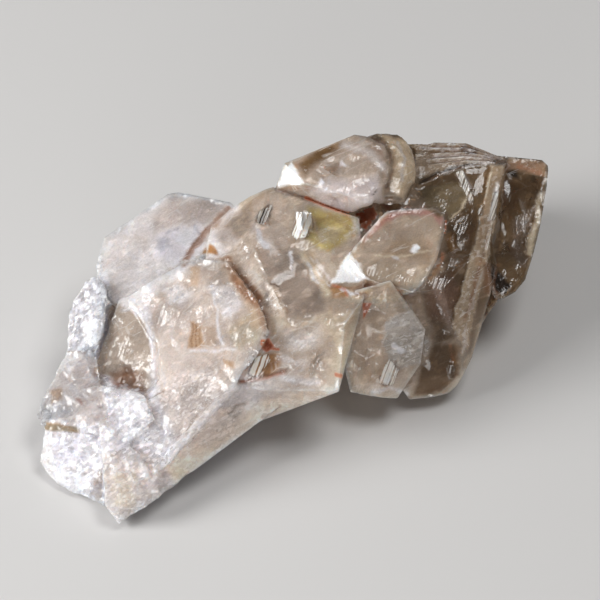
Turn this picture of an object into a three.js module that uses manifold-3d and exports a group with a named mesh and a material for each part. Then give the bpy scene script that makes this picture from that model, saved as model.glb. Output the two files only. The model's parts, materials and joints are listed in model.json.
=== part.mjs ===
// Elestial quartz cluster: a hand-sized specimen of smoky and milky quartz, grown as one piece.
//
// Its crystals all grew parallel. They share one long axis, which runs along the specimen, and one
// set of face directions, so that flats far apart on it catch the light together. Each crystal is
// a convex solid given by its flat faces. All of them are joined into one body.
//
// Lengths are millimetres. The crystals are laid out in a "show frame", as someone sees them who
// looks down at the specimen on a table: x to the right, y up, z towards that onlooker.
// The last step tips the body back onto the table and turns its long axis along +X.

import * as THREE from 'three';
import { ConvexGeometry } from 'three/addons/geometries/ConvexGeometry.js';
import { mergeVertices } from 'three/addons/utils/BufferGeometryUtils.js';
import Module from 'manifold-3d';

const wasm = await Module();
wasm.setup();

const { degToRad } = THREE.MathUtils;
const V = (x, y, z) => new THREE.Vector3(x, y, z);

// ---- Driving dimensions ----
const LOOK_DOWN = degToRad(45);        // how steeply the onlooker looks down at the table
const LONG_AXIS_TURN = degToRad(-30);  // brings the long axis of the body along +X
const EDGE_LEAN = -20;                 // sides draw in by this many degrees behind their outline
const BEVEL_SLOPE = 1.2;               // a bevel's run across for each millimetre that it falls
const STEP_DEPTH = 1.4;                // the plates that stand on a face are let in by this much
const STEP_LEAN = 30;                  // and their edges spread outwards
const LEDGE_DEPTH = 2.6;               // the same two sizes for the ledges of the right end
const LEDGE_LEAN = 8;
const PLATE_ROOT = 0.4;                // how far the frosted end's plates go below their face
const REACH = 90;                      // no crystal reaches further than this from the middle
const SAME_PLACE = 1e-3;               // corners closer than this are one corner

// The onlooker sees the table's surface as a plane facing down and away.
const TABLE = { normal: V(0, -Math.cos(LOOK_DOWN), -Math.sin(LOOK_DOWN)), reach: 0 };

// The axis that all the crystals grew along, and the tilt of their end faces to it.
const GROWTH_AXIS = V(0.83, 0.46, -0.3).normalize();
const CAP_TILT = degToRad(51.8);
const PRISM_TURN = 5;                  // turns a crystal's sides about that axis, in degrees

// ---- The face directions that the crystals share ----
const facing = (right, up, near) => V(right, up, near).normalize();
const ROOF = facing(0.05, 0.52, 0.85);      // the broad upper flats
const GLINT = facing(-0.49, 0.1, 0.87);     // the small triangles that flash to the left
const UNDERCUT = facing(-0.265, -0.708, 0.655);  // the narrow flats below them
const WING = facing(-0.28, 0.62, 0.73);     // the large flat of the left wing
const LEFT_SLOPE = facing(-0.34, 0.66, 0.67);
const LEFT_END = facing(-0.45, 0.3, 0.84);
const BELLY = facing(0, -0.75, 0.66);
const SLAB = facing(-0.3, 0.38, 0.87);
const RIGHT_BAND = facing(0.5, 0.27, 0.82);

// A place on the table-top frame: x right, y away from the onlooker, z height above the table.
function above(x, y, z) {
  const s = Math.sin(LOOK_DOWN);
  const c = Math.cos(LOOK_DOWN);
  return V(x, y * s + z * c, z * s - y * c);
}

function plane(normal, point) {
  return { normal, reach: normal.dot(point) };
}

// ---- Convex solids from their faces ----

function meetingPoint(a, b, c) {
  const bc = V(0, 0, 0).crossVectors(b.normal, c.normal);
  const volume = a.normal.dot(bc);
  if (Math.abs(volume) < 1e-5) {
    return null;
  }
  const ca = V(0, 0, 0).crossVectors(c.normal, a.normal);
  const ab = V(0, 0, 0).crossVectors(a.normal, b.normal);
  return bc.multiplyScalar(a.reach)
    .addScaledVector(ca, b.reach)
    .addScaledVector(ab, c.reach)
    .divideScalar(volume);
}

function cornersOf(planes) {
  const corners = [];
  const inside = (p) => planes.every((face) => face.normal.dot(p) < face.reach + SAME_PLACE / 4);
  for (let i = 0; i < planes.length; i += 1) {
    for (let j = i + 1; j < planes.length; j += 1) {
      for (let k = j + 1; k < planes.length; k += 1) {
        const p = meetingPoint(planes[i], planes[j], planes[k]);
        if (p && inside(p) && !corners.some((q) => q.distanceTo(p) < SAME_PLACE)) {
          corners.push(p);
        }
      }
    }
  }
  return corners;
}

// The solid behind all of the given faces. Six far planes keep an open set of faces closed.
function solidFromPlanes(faces) {
  const limits = [V(1, 0, 0), V(0, 1, 0), V(0, 0, 1)].flatMap((axis) => [
    { normal: axis, reach: REACH },
    { normal: axis.clone().negate(), reach: REACH },
  ]);
  const hull = new ConvexGeometry(cornersOf([...faces, ...limits]));
  hull.deleteAttribute('normal');
  const merged = mergeVertices(hull, SAME_PLACE / 10);
  return new wasm.Manifold(new wasm.Mesh({
    numProp: 3,
    vertProperties: merged.attributes.position.array,
    triVerts: new Uint32Array(merged.index.array),
  }));
}

// ---- Crystals and hollows ----

// How near the onlooker a set of faces comes at x, y: the furthest back of them is the surface.
function surfaceAt(faces, x, y) {
  const nearness = faces.map(({ normal, reach }) => (reach - normal.x * x - normal.y * y) / normal.z);
  return V(x, y, Math.min(...nearness));
}

// The planes that run back from an outline lying on the faces. An outline point is [x, y]. Its
// optional third and fourth numbers are the lean of the side that starts there, and the width of
// a bevel along that side's edge.
function sidePlanes(faces, outline, lean) {
  const turn = THREE.ShapeUtils.area(outline.map(([x, y]) => ({ x, y }))) > 0 ? 1 : -1;
  return outline.flatMap(([x, y, ownLean = lean, bevel = 0], index) => {
    const [nextX, nextY] = outline[(index + 1) % outline.length];
    const start = surfaceAt(faces, x, y);
    const end = surfaceAt(faces, nextX, nextY);
    const along = end.clone().sub(start);
    const outward = V(nextY - y, x - nextX, 0).normalize().multiplyScalar(turn);
    const planeThrough = (point, slope) => {
      const back = outward.clone().multiplyScalar(slope).add(V(0, 0, -1));
      const normal = along.clone().cross(back).normalize();
      return plane(normal.dot(outward) < 0 ? normal.negate() : normal, point);
    };
    const side = planeThrough(start, Math.tan(degToRad(ownLean)));
    if (bevel === 0) {
      return [side];
    }
    return [side, planeThrough(start.clone().addScaledVector(outward, -bevel), BEVEL_SLOPE)];
  });
}

// A crystal that shows one or more flat faces inside its outline. It stands on the table unless
// depth stops it sooner.
function crystal({ faces, outline, lean = EDGE_LEAN, depth = REACH }) {
  const shown = faces.map(([normal, x, y, z]) => plane(normal, V(x, y, z)));
  const back = { normal: shown[0].normal.clone().negate(), reach: depth - shown[0].reach };
  return solidFromPlanes([...shown, ...sidePlanes(shown, outline, lean), back, TABLE]);
}

// A pit with sloping walls, sunk below a face. Its floor is a face of its own.
function hollow({ mouth, floor, outline, lean = -35 }) {
  const [normal, x, y, z] = mouth;
  const rim = plane(normal, V(x, y, z));
  const lid = { normal: rim.normal, reach: rim.reach + 3 };
  const [floorNormal, floorX, floorY, floorZ] = floor;
  const bottom = plane(floorNormal.clone().negate(), V(floorX, floorY, floorZ));
  return solidFromPlanes([lid, bottom, ...sidePlanes([rim], outline, lean)]);
}

// A six-sided quartz crystal along the growth axis. Its sides lie at shares of half its width.
// Three of the six faces at each end are large.
function sixSided({ at, width, length, sides = [1, 1, 1, 1, 1, 1] }) {
  const across = V(0, 0, 1).cross(GROWTH_AXIS).normalize();
  const upright = V(0, 0, 0).crossVectors(GROWTH_AXIS, across);
  const faces = [TABLE];
  sides.forEach((share, k) => {
    const angle = degToRad(60 * k + PRISM_TURN);
    const side = across.clone().multiplyScalar(Math.cos(angle));
    side.addScaledVector(upright, Math.sin(angle));
    faces.push({ normal: side, reach: side.dot(at) + width / 2 * share });
    for (const end of [-1, 1]) {
      const cap = side.clone().multiplyScalar(Math.sin(CAP_TILT));
      cap.addScaledVector(GROWTH_AXIS, end * Math.cos(CAP_TILT));
      const large = (k + (end > 0 ? 0 : 1)) % 2 === 0;
      const tip = at.clone().addScaledVector(GROWTH_AXIS, end * length * (large ? 0.46 : 0.53));
      faces.push(plane(cap, tip));
    }
  });
  return solidFromPlanes(faces);
}

// ---- The crystals of the show side ----

// The left wing: one large flat, with a narrow bevel along its outer edges.
function leftWing() {
  return [crystal({
    faces: [[WING, -30, 12, 23.4]],
    outline: [[-39.7, 12.8, -30, 0.7], [-26.6, 21.6, -35, 0.9], [-24.4, 22, -35, 0.9],
      [-13.8, 20.2], [-8, 14], [-22.9, 4], [-36.2, -4], [-41, 2], [-41.4, 7.4, -30, 0.7]],
    depth: 16,
  })];
}

// Below the wing: a frosted block, two slabs with a lip, and the foot that reaches the table.
function leftEnd() {
  return [
    crystal({
      faces: [[LEFT_END, -43, -3, 30]],
      outline: [[-41.2, 5], [-42.8, 3.8], [-45.5, 0.4], [-46.4, -3], [-46.7, -11], [-40, -10.2],
        [-38.8, -6], [-38.2, 2], [-39.2, 4]],
      depth: 14,
    }),
    crystal({
      faces: [[SLAB, -44, -18, 35.7]],
      outline: [[-46.6, -10], [-51.3, -19.4], [-52.6, -23.8, -55], [-51, -26, -55],
        [-43.4, -26.6, -45], [-38, -26], [-39.6, -15], [-40, -10.2]],
      depth: 12,
    }),
    crystal({
      faces: [[SLAB, -37, -22, 40.4]],
      outline: [[-43, -17.4], [-39, -16.8], [-35.2, -17.4], [-30.6, -18.6], [-28.6, -24],
        [-34, -28], [-43.4, -26.6], [-46, -20]],
      depth: 12,
    }),
    crystal({
      faces: [[facing(-0.3, 0.1, 0.95), -43, -33, 40]],
      outline: [[-50.6, -24], [-51.8, -32.2], [-50.2, -35.2], [-48.2, -37], [-38.7, -41.5],
        [-30, -36], [-30, -20]],
      lean: -8,
    }),
    crystal({
      faces: [
        [facing(-0.1, 0.33, 0.94), -28, -32, 46],
        [facing(0.45, 0.05, 0.89), -24, -30, 44.6],
        [facing(-0.1, -0.45, 0.88), -33, -42, 48.5],
      ],
      outline: [[-38.7, -41.3], [-36, -44.4], [-34.3, -45], [-32.6, -44], [-24, -36.2],
        [-15.5, -29.6], [-14, -22], [-22, -16], [-40, -24]],
      lean: -8,
    }),
  ];
}

// The rounded crystal left of the middle, with a sunken window above its lower left edge.
function middleLeft() {
  const body = crystal({
    faces: [[facing(-0.3, 0.36, 0.88), -8, 0, 40]],
    outline: [[-22.9, 7.6], [-20.2, 8.2], [-13.8, 7.8, -20, 0.8], [-8.1, 0.4, -20, 0.8],
      [-6.5, -3], [-6.1, -6.6], [-7.8, -10], [-15.8, -21.6], [-26, -33], [-33, -38],
      [-40, -30], [-41.4, -12], [-36.2, 0]],
    depth: 22,
  });
  const window = hollow({
    mouth: [facing(-0.3, 0.36, 0.88), -8, 0, 40],
    floor: [facing(-0.31, 0.235, 0.92), -34, 0, 31.1],
    outline: [[-42, -14.8], [-39, -17.4], [-30.4, -19], [-27.5, -16], [-28.6, -8], [-34, 0],
      [-38, 2], [-40.6, -4]],
    lean: -15,
  });
  return [body.subtract(window)];
}

// The broad middle crystal: its roof, the slopes to its left, the olive flat and the belly.
function middle() {
  const body = crystal({
    faces: [
      [ROOF, 0, -2, 40.2],
      [LEFT_SLOPE, -8.8, 15.4, 29.9],
      [facing(-0.35, 0.35, 0.87), -4, 0, 39.4],
      [facing(0.11, 0.64, 0.77), -1.8, 12.8, 31.4],
      [facing(0.02, 0.1, 0.99), 0, -4, 41.4],
      [BELLY, 0, -18, 42.8],
    ],
    outline: [[-17.8, 14.6], [-14, 18.2], [-10, 20.8], [-5.4, 22.7], [11.8, 16.6], [13, 2],
      [12.6, -1, -20, 1], [8.6, -17.8, -5], [-8, -24.2, -5], [-14, -25], [-20, -10]],
    depth: 28,
  });
  const darkWindow = hollow({
    mouth: [ROOF, -7, 17, 29.6],
    floor: [facing(0.3, 0.4, 0.86), -8.6, 17, 28.6],
    outline: [[-8.8, 19.4], [-5.4, 19.2], [-7, 15.2], [-9, 15.4]],
    lean: -10,
  });
  const glints = [0, 1, 2].map((step) => crystal({
    faces: [[GLINT, 0.2 + step, 15, 30.6 - 0.5 * step]],
    outline: [[-0.9 + step, 17.8], [0.3 + step, 17.6], [0.7 + step, 12.4], [-0.5 + step, 12.2]],
    depth: STEP_DEPTH,
  }));
  return [body.subtract(darkWindow), ...glints];
}

// The slope below both of them, which runs down to the foot.
function belly() {
  return [crystal({
    faces: [[facing(0.42, -0.3, 0.86), -15.8, -21.6, 45.1]],
    outline: [[-4, -21.2], [-8, -24.2], [-26, -37.8], [-29, -33], [-17, -20], [-12.4, -16.6, 35]],
    lean: -8,
    depth: 12,
  })];
}

// The top crystal, with its left triangle and a pit in its roof.
function topCrystal() {
  const roof = facing(0.1, 0.5, 0.86);
  const body = crystal({
    faces: [[roof, 10, 24, 26], [GLINT, 1, 23.2, 27.6], [UNDERCUT, -5, 22.6, 24.3]],
    outline: [[-3.2, 27.6, -20, 0.6], [-5, 22.6], [-0.6, 20], [4, 18.6], [11.6, 17.1],
      [14.2, 18.6], [17, 21], [17.8, 22.6], [18.4, 28], [17, 31.4], [13.6, 32.8],
      [10.9, 33.4, -20, 0.6]],
    depth: 16,
  });
  const pit = hollow({
    mouth: [roof, 10, 24, 26],
    floor: [facing(-0.35, 0.2, 0.9), 8, 26, 23.4],
    outline: [[4, 26.8], [9.4, 28.2], [9.8, 25.8], [8.2, 24.4]],
  });
  const roofStep = crystal({
    faces: [[roof, 10, 24, 26.6]],
    outline: [[10.2, 25.8], [15.6, 25.6], [16.4, 22.8], [13.6, 19.6], [5, 22], [8.6, 24]],
    lean: STEP_LEAN,
    depth: STEP_DEPTH,
  });
  return [body.subtract(pit), roofStep];
}

// Rounded ledges behind the top crystal: each step of growth is smaller and stands further out.
function topBehind() {
  const [middleX, middleY] = [16.5, 25.5];
  return [0, 1, 2].map((step) => {
    const share = 1 - 0.14 * step;
    const shrunk = ([x, y]) => [middleX + (x - middleX) * share, middleY + (y - middleY) * share];
    return crystal({
      faces: [[facing(0.2, 0.5, 0.84), 20, 28, 19.6 + 0.8 * step]],
      outline: [[12, 32], [15.8, 33.8], [20, 33.4], [21.4, 32], [22.6, 30.4], [23.6, 26],
        [23.4, 23.6], [21, 19], [14, 19]].map(shrunk),
      depth: step === 0 ? 14 : STEP_DEPTH,
      lean: step === 0 ? EDGE_LEAN : STEP_LEAN,
    });
  });
}

// Right of the middle, with its own triangle at the left tip.
function middleRight() {
  return [crystal({
    faces: [[ROOF, 20, 9, 33.4], [GLINT, 9.8, 9.6, 34.2], [UNDERCUT, 6.2, 3.2, 32.9]],
    outline: [[6.2, 3.2], [9.8, 9.6], [11.8, 14.4], [16, 17.6], [20.3, 18.4, -20, 0.5],
      [26.4, 18.6, -20, 0.5], [29, 17.2, -20, 0.7], [28.8, 13, -20, 0.7], [27.4, 8, -20, 0.7],
      [25, 3.6], [22.4, 1.4], [16.2, 0.2], [9.8, -0.4]],
    depth: 18,
  })];
}

// The crystal at the lower front that points to the right, with a small stepped glint.
function lowerFront() {
  const body = crystal({
    faces: [[facing(-0.08, -0.33, 0.94), 16.8, -10, 34], [facing(0.24, -0.33, 0.91), 16.8, -10, 34]],
    outline: [[11, 2], [9, -14.2], [10, -18.4], [13.4, -19.1], [21.9, -20, -10, 0.6],
      [23.7, -15.8, -10, 0.6], [24.1, -12.8, -10, 0.6], [26.9, -8.6, -10, 0.6], [22.3, -1.7],
      [18, 4]],
    lean: -10,
    depth: 26,
  });
  const glints = [0, 1].map((step) => crystal({
    faces: [[GLINT, 18.6 - 1.2 * step, -14.4 - step, 32.9]],
    outline: [[17.8, -12], [19.6, -14], [18.6, -15.6], [16.8, -13.8]].map(
      ([x, y]) => [x - 1.2 * step, y - 1.5 * step],
    ),
    depth: STEP_DEPTH,
  }));
  return [body, ...glints];
}

// The smoky crystal of the right end. A band runs down its right side, and ledges cross its top.
function rightEnd() {
  const body = crystal({
    faces: [
      [facing(0.05, 0.42, 0.9), 28, 8, 26],
      [facing(0.1, -0.2, 0.97), 28, 2, 28.7],
      [RIGHT_BAND, 34.1, 8.3, 25.5],
      [facing(0.51, -0.03, 0.86), 34.1, 8.3, 25.5],
      [facing(0.86, 0.06, 0.5), 37.4, 9, 23.2],
    ],
    outline: [[18, 20.6], [25, 23.7], [29.8, 25.7], [34, 27], [38, 27.4], [41.2, 27],
      [39.7, 0.6], [34.5, -11.6, -12, 1], [33.4, -15.2, -12, 1], [31.9, -16.9, -12, 1],
      [29.7, -18.9], [26.7, -19.5], [21.9, -20], [14, -10]],
    lean: -12,
    depth: 24,
  });
  const lowest = [[20, 31.9], [33.4, 31.6], [37.4, 30], [41.1, 28.4]];
  const highest = [[20, 26.6], [33.4, 28.1], [37.4, 28], [41.1, 27.1]];
  const count = 5;
  const ledges = Array.from({ length: count }, (_, step) => {
    const share = step / (count - 1);
    const edge = highest.map(([x, y], index) => [
      x + (lowest[index][0] - x) * share,
      y + (lowest[index][1] - y) * share,
    ]);
    const isLowest = step === count - 1;
    return crystal({
      faces: [[facing(0.12, 0.42, 0.9), 29.6, 25.6, 16.9 - 0.9 * step]],
      outline: [...edge, [39.5, 22], [23, 19]],
      depth: isLowest ? 13 : LEDGE_DEPTH,
      lean: isLowest ? EDGE_LEAN : LEDGE_LEAN,
    });
  });
  return [body, ...ledges];
}

// The slab at the far right, and the rusty block in the corner below it.
function farRight() {
  return [
    crystal({
      faces: [
        [facing(0.35, 0.25, 0.9), 44, 15, 16.1],
        [facing(0.22, 0.6, 0.77), 44, 25, 13.3],
      ],
      outline: [[38, 29.2], [41.7, 28.9], [48.6, 28.2], [49.8, 27.1], [49.6, 23], [48.3, 15.3],
        [46.9, 9.6], [45.1, 4], [43, 1.5], [40.4, 0.1], [38.9, 0.3], [36, 8]],
      depth: 15,
    }),
    crystal({
      faces: [[facing(0.3, -0.3, 0.9), 39.5, 2, 16.4]],
      outline: [[37.8, 10], [42, 3.4], [40, 0.4], [36.4, -5.4], [33, -4], [33, 8]],
      depth: 10,
    }),
  ];
}

// Low plates that stand on the frosted left end, one step of growth above the face below them.
// Each is drawn on the face that carries it, with its rise above that face.
function leftEndPlates() {
  const block = [LEFT_END, -43, -3, 30];
  const slab = [SLAB, -44, -18, 35.7];
  const innerSlab = [SLAB, -37, -22, 40.4];
  const toe = [facing(-0.3, 0.1, 0.95), -43, -33, 40];
  const foot = [facing(-0.1, 0.33, 0.94), -28, -32, 46];
  const plate = ([normal, x, y, z], rise, outline) => crystal({
    faces: [[normal, x, y, z + rise]],
    outline,
    lean: STEP_LEAN,
    depth: rise + PLATE_ROOT,
  });
  return [
    plate(block, 0.5, [[-44, 0.4], [-42.4, 1.8], [-40.2, 1.2], [-40.6, -2.4], [-43.6, -2]]),
    plate(block, 0.8, [[-45, -3.4], [-42.2, -1.6], [-40, -4], [-40.6, -7.6], [-44.4, -6.6]]),
    plate(slab, 0.4, [[-49, -18.6], [-46.8, -16.4], [-43.4, -17.6], [-45.6, -21.2], [-49.4, -20.8]]),
    plate(slab, 0.5, [[-46, -13], [-42.4, -12.2], [-41.4, -15.4], [-45.2, -16]]),
    plate(innerSlab, 0.5, [[-38.6, -19.6], [-34, -18.6], [-30.6, -20.2], [-32.4, -24.4],
      [-38, -25]]),
    plate(innerSlab, 0.9, [[-35.6, -21], [-31.8, -19.8], [-30.2, -23], [-33.2, -24.6]]),
    plate(toe, 0.5, [[-49.4, -29.4], [-47, -27.8], [-42.4, -28.6], [-44.6, -31.6], [-49, -32]]),
    plate(toe, 0.8, [[-47.6, -31.6], [-44, -30.6], [-42, -33.4], [-44.2, -35.4], [-47.4, -34.8]]),
    plate(foot, 0.5, [[-37.8, -30.4], [-34, -28.6], [-31.4, -31], [-33.4, -34.4], [-37, -33.8]]),
    plate(foot, 0.8, [[-34.4, -31.6], [-30.6, -32], [-29.6, -35.2], [-33, -36.2]]),
    plate(foot, 0.5, [[-35.8, -37.2], [-32.4, -36.2], [-30.4, -38], [-33.4, -40.2], [-36, -39.6]]),
  ];
}

// ---- The hidden side ----

function core() {
  return [
    sixSided({ at: above(4, -14, 11), width: 24, length: 84 }),
    sixSided({ at: above(-26, -38, 6), width: 14, length: 44 }),
    sixSided({ at: above(24, -4, 11), width: 19, length: 42 }),
    sixSided({ at: above(-4, -24, 6), width: 13, length: 46 }),
    sixSided({ at: above(-18, -36, 11), width: 12, length: 26 }),
    sixSided({ at: above(13, -18, 17), width: 12, length: 22 }),
  ];
}

// Long crystals side by side, with their ends at different places along the body.
function backCrystals() {
  const stout = [1.05, 1, 0.9, 1.1, 1, 0.85];
  const lopsided = [0.85, 1.1, 1, 0.9, 1.05, 1.1];
  return [
    sixSided({ at: above(-8, -7, 13), width: 25, length: 56, sides: stout }),
    sixSided({ at: above(17, 3, 17), width: 23, length: 40, sides: lopsided }),
    sixSided({ at: above(30, 8, 13), width: 21, length: 38, sides: stout }),
    sixSided({ at: above(-29, -19, 10), width: 22, length: 42, sides: lopsided }),
    sixSided({ at: above(6, 6, 9), width: 18, length: 46, sides: lopsided }),
    sixSided({ at: above(27, 14, 8), width: 16, length: 34, sides: stout }),
    sixSided({ at: above(-17, -4, 7), width: 16, length: 40, sides: stout }),
    sixSided({ at: above(-37, -32, 7), width: 14, length: 28, sides: lopsided }),
  ];
}

// ---- The body ----

function clusterGeometry() {
  const crystals = [
    ...leftWing(), ...leftEnd(), ...leftEndPlates(), ...middleLeft(), ...middle(), ...belly(),
    ...topCrystal(), ...topBehind(), ...middleRight(), ...lowerFront(), ...rightEnd(),
    ...farRight(), ...core(), ...backCrystals(),
  ];
  const body = crystals.reduce((whole, next) => whole.add(next));
  const { vertProperties, triVerts } = body.getMesh();
  const geometry = new THREE.BufferGeometry();
  geometry.setAttribute('position', new THREE.BufferAttribute(vertProperties, 3));
  geometry.setIndex(new THREE.BufferAttribute(triVerts, 1));
  geometry.rotateX(Math.PI / 2 - LOOK_DOWN);
  geometry.rotateZ(LONG_AXIS_TURN);
  geometry.computeBoundingBox();
  const middlePoint = geometry.boundingBox.getCenter(V(0, 0, 0));
  geometry.translate(-middlePoint.x, -middlePoint.y, -geometry.boundingBox.min.z);
  return geometry;
}

const quartz = new THREE.MeshStandardMaterial({
  color: 0xc9bdb2,
  roughness: 0.25,
  metalness: 0,
  transparent: true,
  opacity: 0.85,
});

const cluster = new THREE.Mesh(clusterGeometry(), quartz);
cluster.name = 'elestial_quartz_cluster';

const group = new THREE.Group();
group.add(cluster);

export default group;
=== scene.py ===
"""Elestial quartz cluster: a hand-sized specimen of parallel-grown quartz on a pale floor.

The cluster's surface is the solid's own, remeshed so that its flats and edges stay sharp, then
worn, etched and ribbed by modifiers. Its colours are painted per vertex with named patches and
strokes, laid out in millimetres on the "show side": u to the right and v up, as someone sees it
who looks down at it on a table. Some patches are painted highlights and painted shade. A
procedural material adds the veils, the fine frost and the growth lines. It also paints highlights
(glitter, sparkles, stepped glints, pale ridges) and paints shade in the creases.
"""

import json
import math

import bpy
import numpy as np
from mathutils import Color, Matrix, Vector, noise

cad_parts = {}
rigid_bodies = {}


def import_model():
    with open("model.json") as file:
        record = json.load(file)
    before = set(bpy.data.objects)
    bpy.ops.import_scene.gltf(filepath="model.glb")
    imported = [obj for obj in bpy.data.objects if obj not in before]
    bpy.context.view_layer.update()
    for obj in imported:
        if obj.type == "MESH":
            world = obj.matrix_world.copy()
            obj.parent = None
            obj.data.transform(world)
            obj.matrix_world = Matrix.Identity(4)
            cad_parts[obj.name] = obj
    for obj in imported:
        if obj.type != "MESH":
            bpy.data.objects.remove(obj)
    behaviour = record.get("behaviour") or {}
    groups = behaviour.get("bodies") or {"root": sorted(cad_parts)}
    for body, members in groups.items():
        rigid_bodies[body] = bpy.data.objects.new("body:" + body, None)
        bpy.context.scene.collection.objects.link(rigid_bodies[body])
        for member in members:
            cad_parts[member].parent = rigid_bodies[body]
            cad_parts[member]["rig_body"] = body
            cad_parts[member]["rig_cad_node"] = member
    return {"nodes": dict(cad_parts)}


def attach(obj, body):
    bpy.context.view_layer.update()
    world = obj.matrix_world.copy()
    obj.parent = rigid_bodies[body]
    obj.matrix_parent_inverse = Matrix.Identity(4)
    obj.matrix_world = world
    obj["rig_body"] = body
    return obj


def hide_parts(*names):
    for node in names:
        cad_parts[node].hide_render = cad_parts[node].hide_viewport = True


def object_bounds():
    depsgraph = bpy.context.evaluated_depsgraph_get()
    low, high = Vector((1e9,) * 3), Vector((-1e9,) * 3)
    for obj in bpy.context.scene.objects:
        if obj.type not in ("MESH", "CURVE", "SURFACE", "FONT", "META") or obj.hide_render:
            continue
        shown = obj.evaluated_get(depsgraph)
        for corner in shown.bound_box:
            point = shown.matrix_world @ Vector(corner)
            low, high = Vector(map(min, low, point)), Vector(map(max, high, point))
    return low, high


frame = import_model()
cad_low, cad_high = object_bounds()

bl_info = {
    "name": "Elestial quartz cluster",
    "version": (1, 0, 0),
    "blender": (4, 5, 0),
    "location": "View3D > Sidebar > Quartz",
    "description": "Makes an elestial quartz cluster and the stage that it is shown on",
    "category": "Add Mesh",
}

CAD_NODE = "elestial_quartz_cluster"
PIECE = "quartz_cluster"
MM = 0.001
MERGE_DISTANCE = 0.001 * MM

# ---- The show side ----
# The onlooker looks down at the table by LOOK_DOWN, and the cluster's long axis is turned along X.
LOOK_DOWN = math.radians(45)
LONG_AXIS_TURN = math.radians(-30)
SHOW_ORIGIN = (10.101, 11.442, 0.0)  # mm, where the show side's layout has its middle on the table
GROWTH_AXIS = np.array((0.83, 0.46, -0.3))  # on the show side: the axis that all the crystals grew along
TABLE_TURN = Matrix.Rotation(LONG_AXIS_TURN, 3, "Z")
SHOW_TURN = TABLE_TURN @ Matrix.Rotation(math.pi / 2 - LOOK_DOWN, 3, "X")
GRAIN_TURN = (SHOW_TURN @ Vector(GROWTH_AXIS)).to_track_quat("X", "Z")  # turns X to the growth axis


def from_show(right, up, near):
    """A place of the show side, in mm, as a place in the frame, in metres."""
    return (SHOW_TURN @ Vector((right, up, near)) + Vector(SHOW_ORIGIN)) * MM


def from_table(right, away, height):
    """A direction on the table, as the onlooker stands, turned into the frame."""
    return TABLE_TURN @ Vector((right, away, height))


# ---- Settings ----


def tone(name, description, default):
    return bpy.props.FloatVectorProperty(
        name=name, description=description, default=default, subtype="COLOR", min=0, max=1
    )


def length(name, description, default):
    return bpy.props.FloatProperty(
        name=name, description=description, default=default, min=0, subtype="DISTANCE", unit="LENGTH"
    )


def power(name, description, default):
    return bpy.props.FloatProperty(
        name=name, description=description, default=default, min=0, unit="POWER"
    )


def number(name, description, default, **limits):
    return bpy.props.FloatProperty(name=name, description=description, default=default, **limits)


class QuartzShapeSettings(bpy.types.PropertyGroup):
    detail: bpy.props.IntProperty(
        name="Detail", description="Octree depth of the remeshed surface", default=9, min=6, max=9
    )
    fill: number("Fill", "Share of the remesh grid that the cluster fills", 0.61, min=0.5, max=0.99)
    blocks: length("Blocks", "Height of the broken blocks on the frosted end", 0.0009)
    crumbs: length("Crumbs", "Height of the small chips on the frosted end", 0.0003)
    swell: length("Swell", "Height of the slow waves on every flat", 0.00022)
    steps: length("Steps", "Height of the growth steps on every flat", 0.0013)
    edge_angle: bpy.props.FloatProperty(
        name="Edge angle",
        description="Edges sharper than this stay crisp",
        default=math.radians(24),
        subtype="ANGLE",
        unit="ROTATION",
    )


class QuartzFinishSettings(bpy.types.PropertyGroup):
    milk: tone("Milk", "Frosted, milky quartz at the pale end", (0.84, 0.81, 0.85))
    beige: tone("Beige", "Veiled quartz in the middle", (0.79, 0.66, 0.54))
    smoke: tone("Smoke", "Smoky quartz at the dark end", (0.34, 0.23, 0.13))
    rust: tone("Rust", "Iron stain", (0.42, 0.10, 0.03))
    deep_rust: tone("Deep rust", "Iron stain in the deepest cracks", (0.17, 0.03, 0.01))
    ior: number("IOR", "Refractive index of quartz", 1.544, min=1, max=2.5)
    absorbed: tone("Absorption", "Tint of light that passes through", (0.86, 0.72, 0.56))
    density: number("Density", "Absorption for each metre of quartz", 30.0, min=0, max=500)


class QuartzStageSettings(bpy.types.PropertyGroup):
    floor: tone("Floor", "Colour of the floor", (0.62, 0.61, 0.60))
    key_power: power("Key light", "Power of the left softbox", 9.3)
    fill_power: power("Fill light", "Power of the overhead softbox", 8.5)
    front_power: power("Front light", "Power of the low front softbox", 2.0)
    world: number("Surroundings", "Brightness of the room", 0.10, min=0, max=2)


# ---- Painted patches of the show side ----
# Each row paints one patch or stroke: its colour and strength, how frosted and how clear the
# quartz is there (KEEP leaves it), the width of its soft edge and half its own width in mm, and
# its points [u, v] in mm. A half width of 0 fills the outline. Later rows cover earlier ones.
KEEP = None

BLOCK_WHITE = (0.68, 0.66, 0.70)
# HIGHLIGHT_WHITE paints highlights and glints.
HIGHLIGHT_WHITE = (0.97, 0.96, 0.97)
WHITE = (0.82, 0.80, 0.83)
LAVENDER = (0.80, 0.78, 0.90)
WING_WHITE = (0.87, 0.81, 0.80)
PINK_WHITE = (0.84, 0.76, 0.74)
PALE_PINK = (0.79, 0.66, 0.57)
# The belly's own pale cream, lightened further as painted light on an underside that lies in shade.
PALE_BELLY = (1.0, 0.85, 0.74)
PEACH = (0.82, 0.62, 0.46)
RUSSET = (0.34, 0.17, 0.09)
HONEY = (0.78, 0.62, 0.45)
CREAM = (0.83, 0.72, 0.56)
WARM_BEIGE = (0.72, 0.58, 0.46)
GREY_BEIGE = (0.49, 0.39, 0.30)
TAN = (0.50, 0.33, 0.20)
BROWN = (0.22, 0.10, 0.05)
SMOKE_PALE = (0.54, 0.42, 0.30)
OLIVE_SMOKE = (0.34, 0.26, 0.15)
SMOKE_GREY = (0.27, 0.19, 0.12)
SMOKE_BROWN = (0.19, 0.11, 0.05)
DARK = (0.03, 0.018, 0.012)
OLIVE = (0.70, 0.56, 0.24)
AMBER = (0.46, 0.22, 0.06)
PINK_TAN = (0.60, 0.40, 0.27)
MAUVE = (0.64, 0.52, 0.45)
ROSE = (0.50, 0.27, 0.23)
STEEL = (0.44, 0.43, 0.42)
SLATE = (0.36, 0.37, 0.42)

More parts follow.
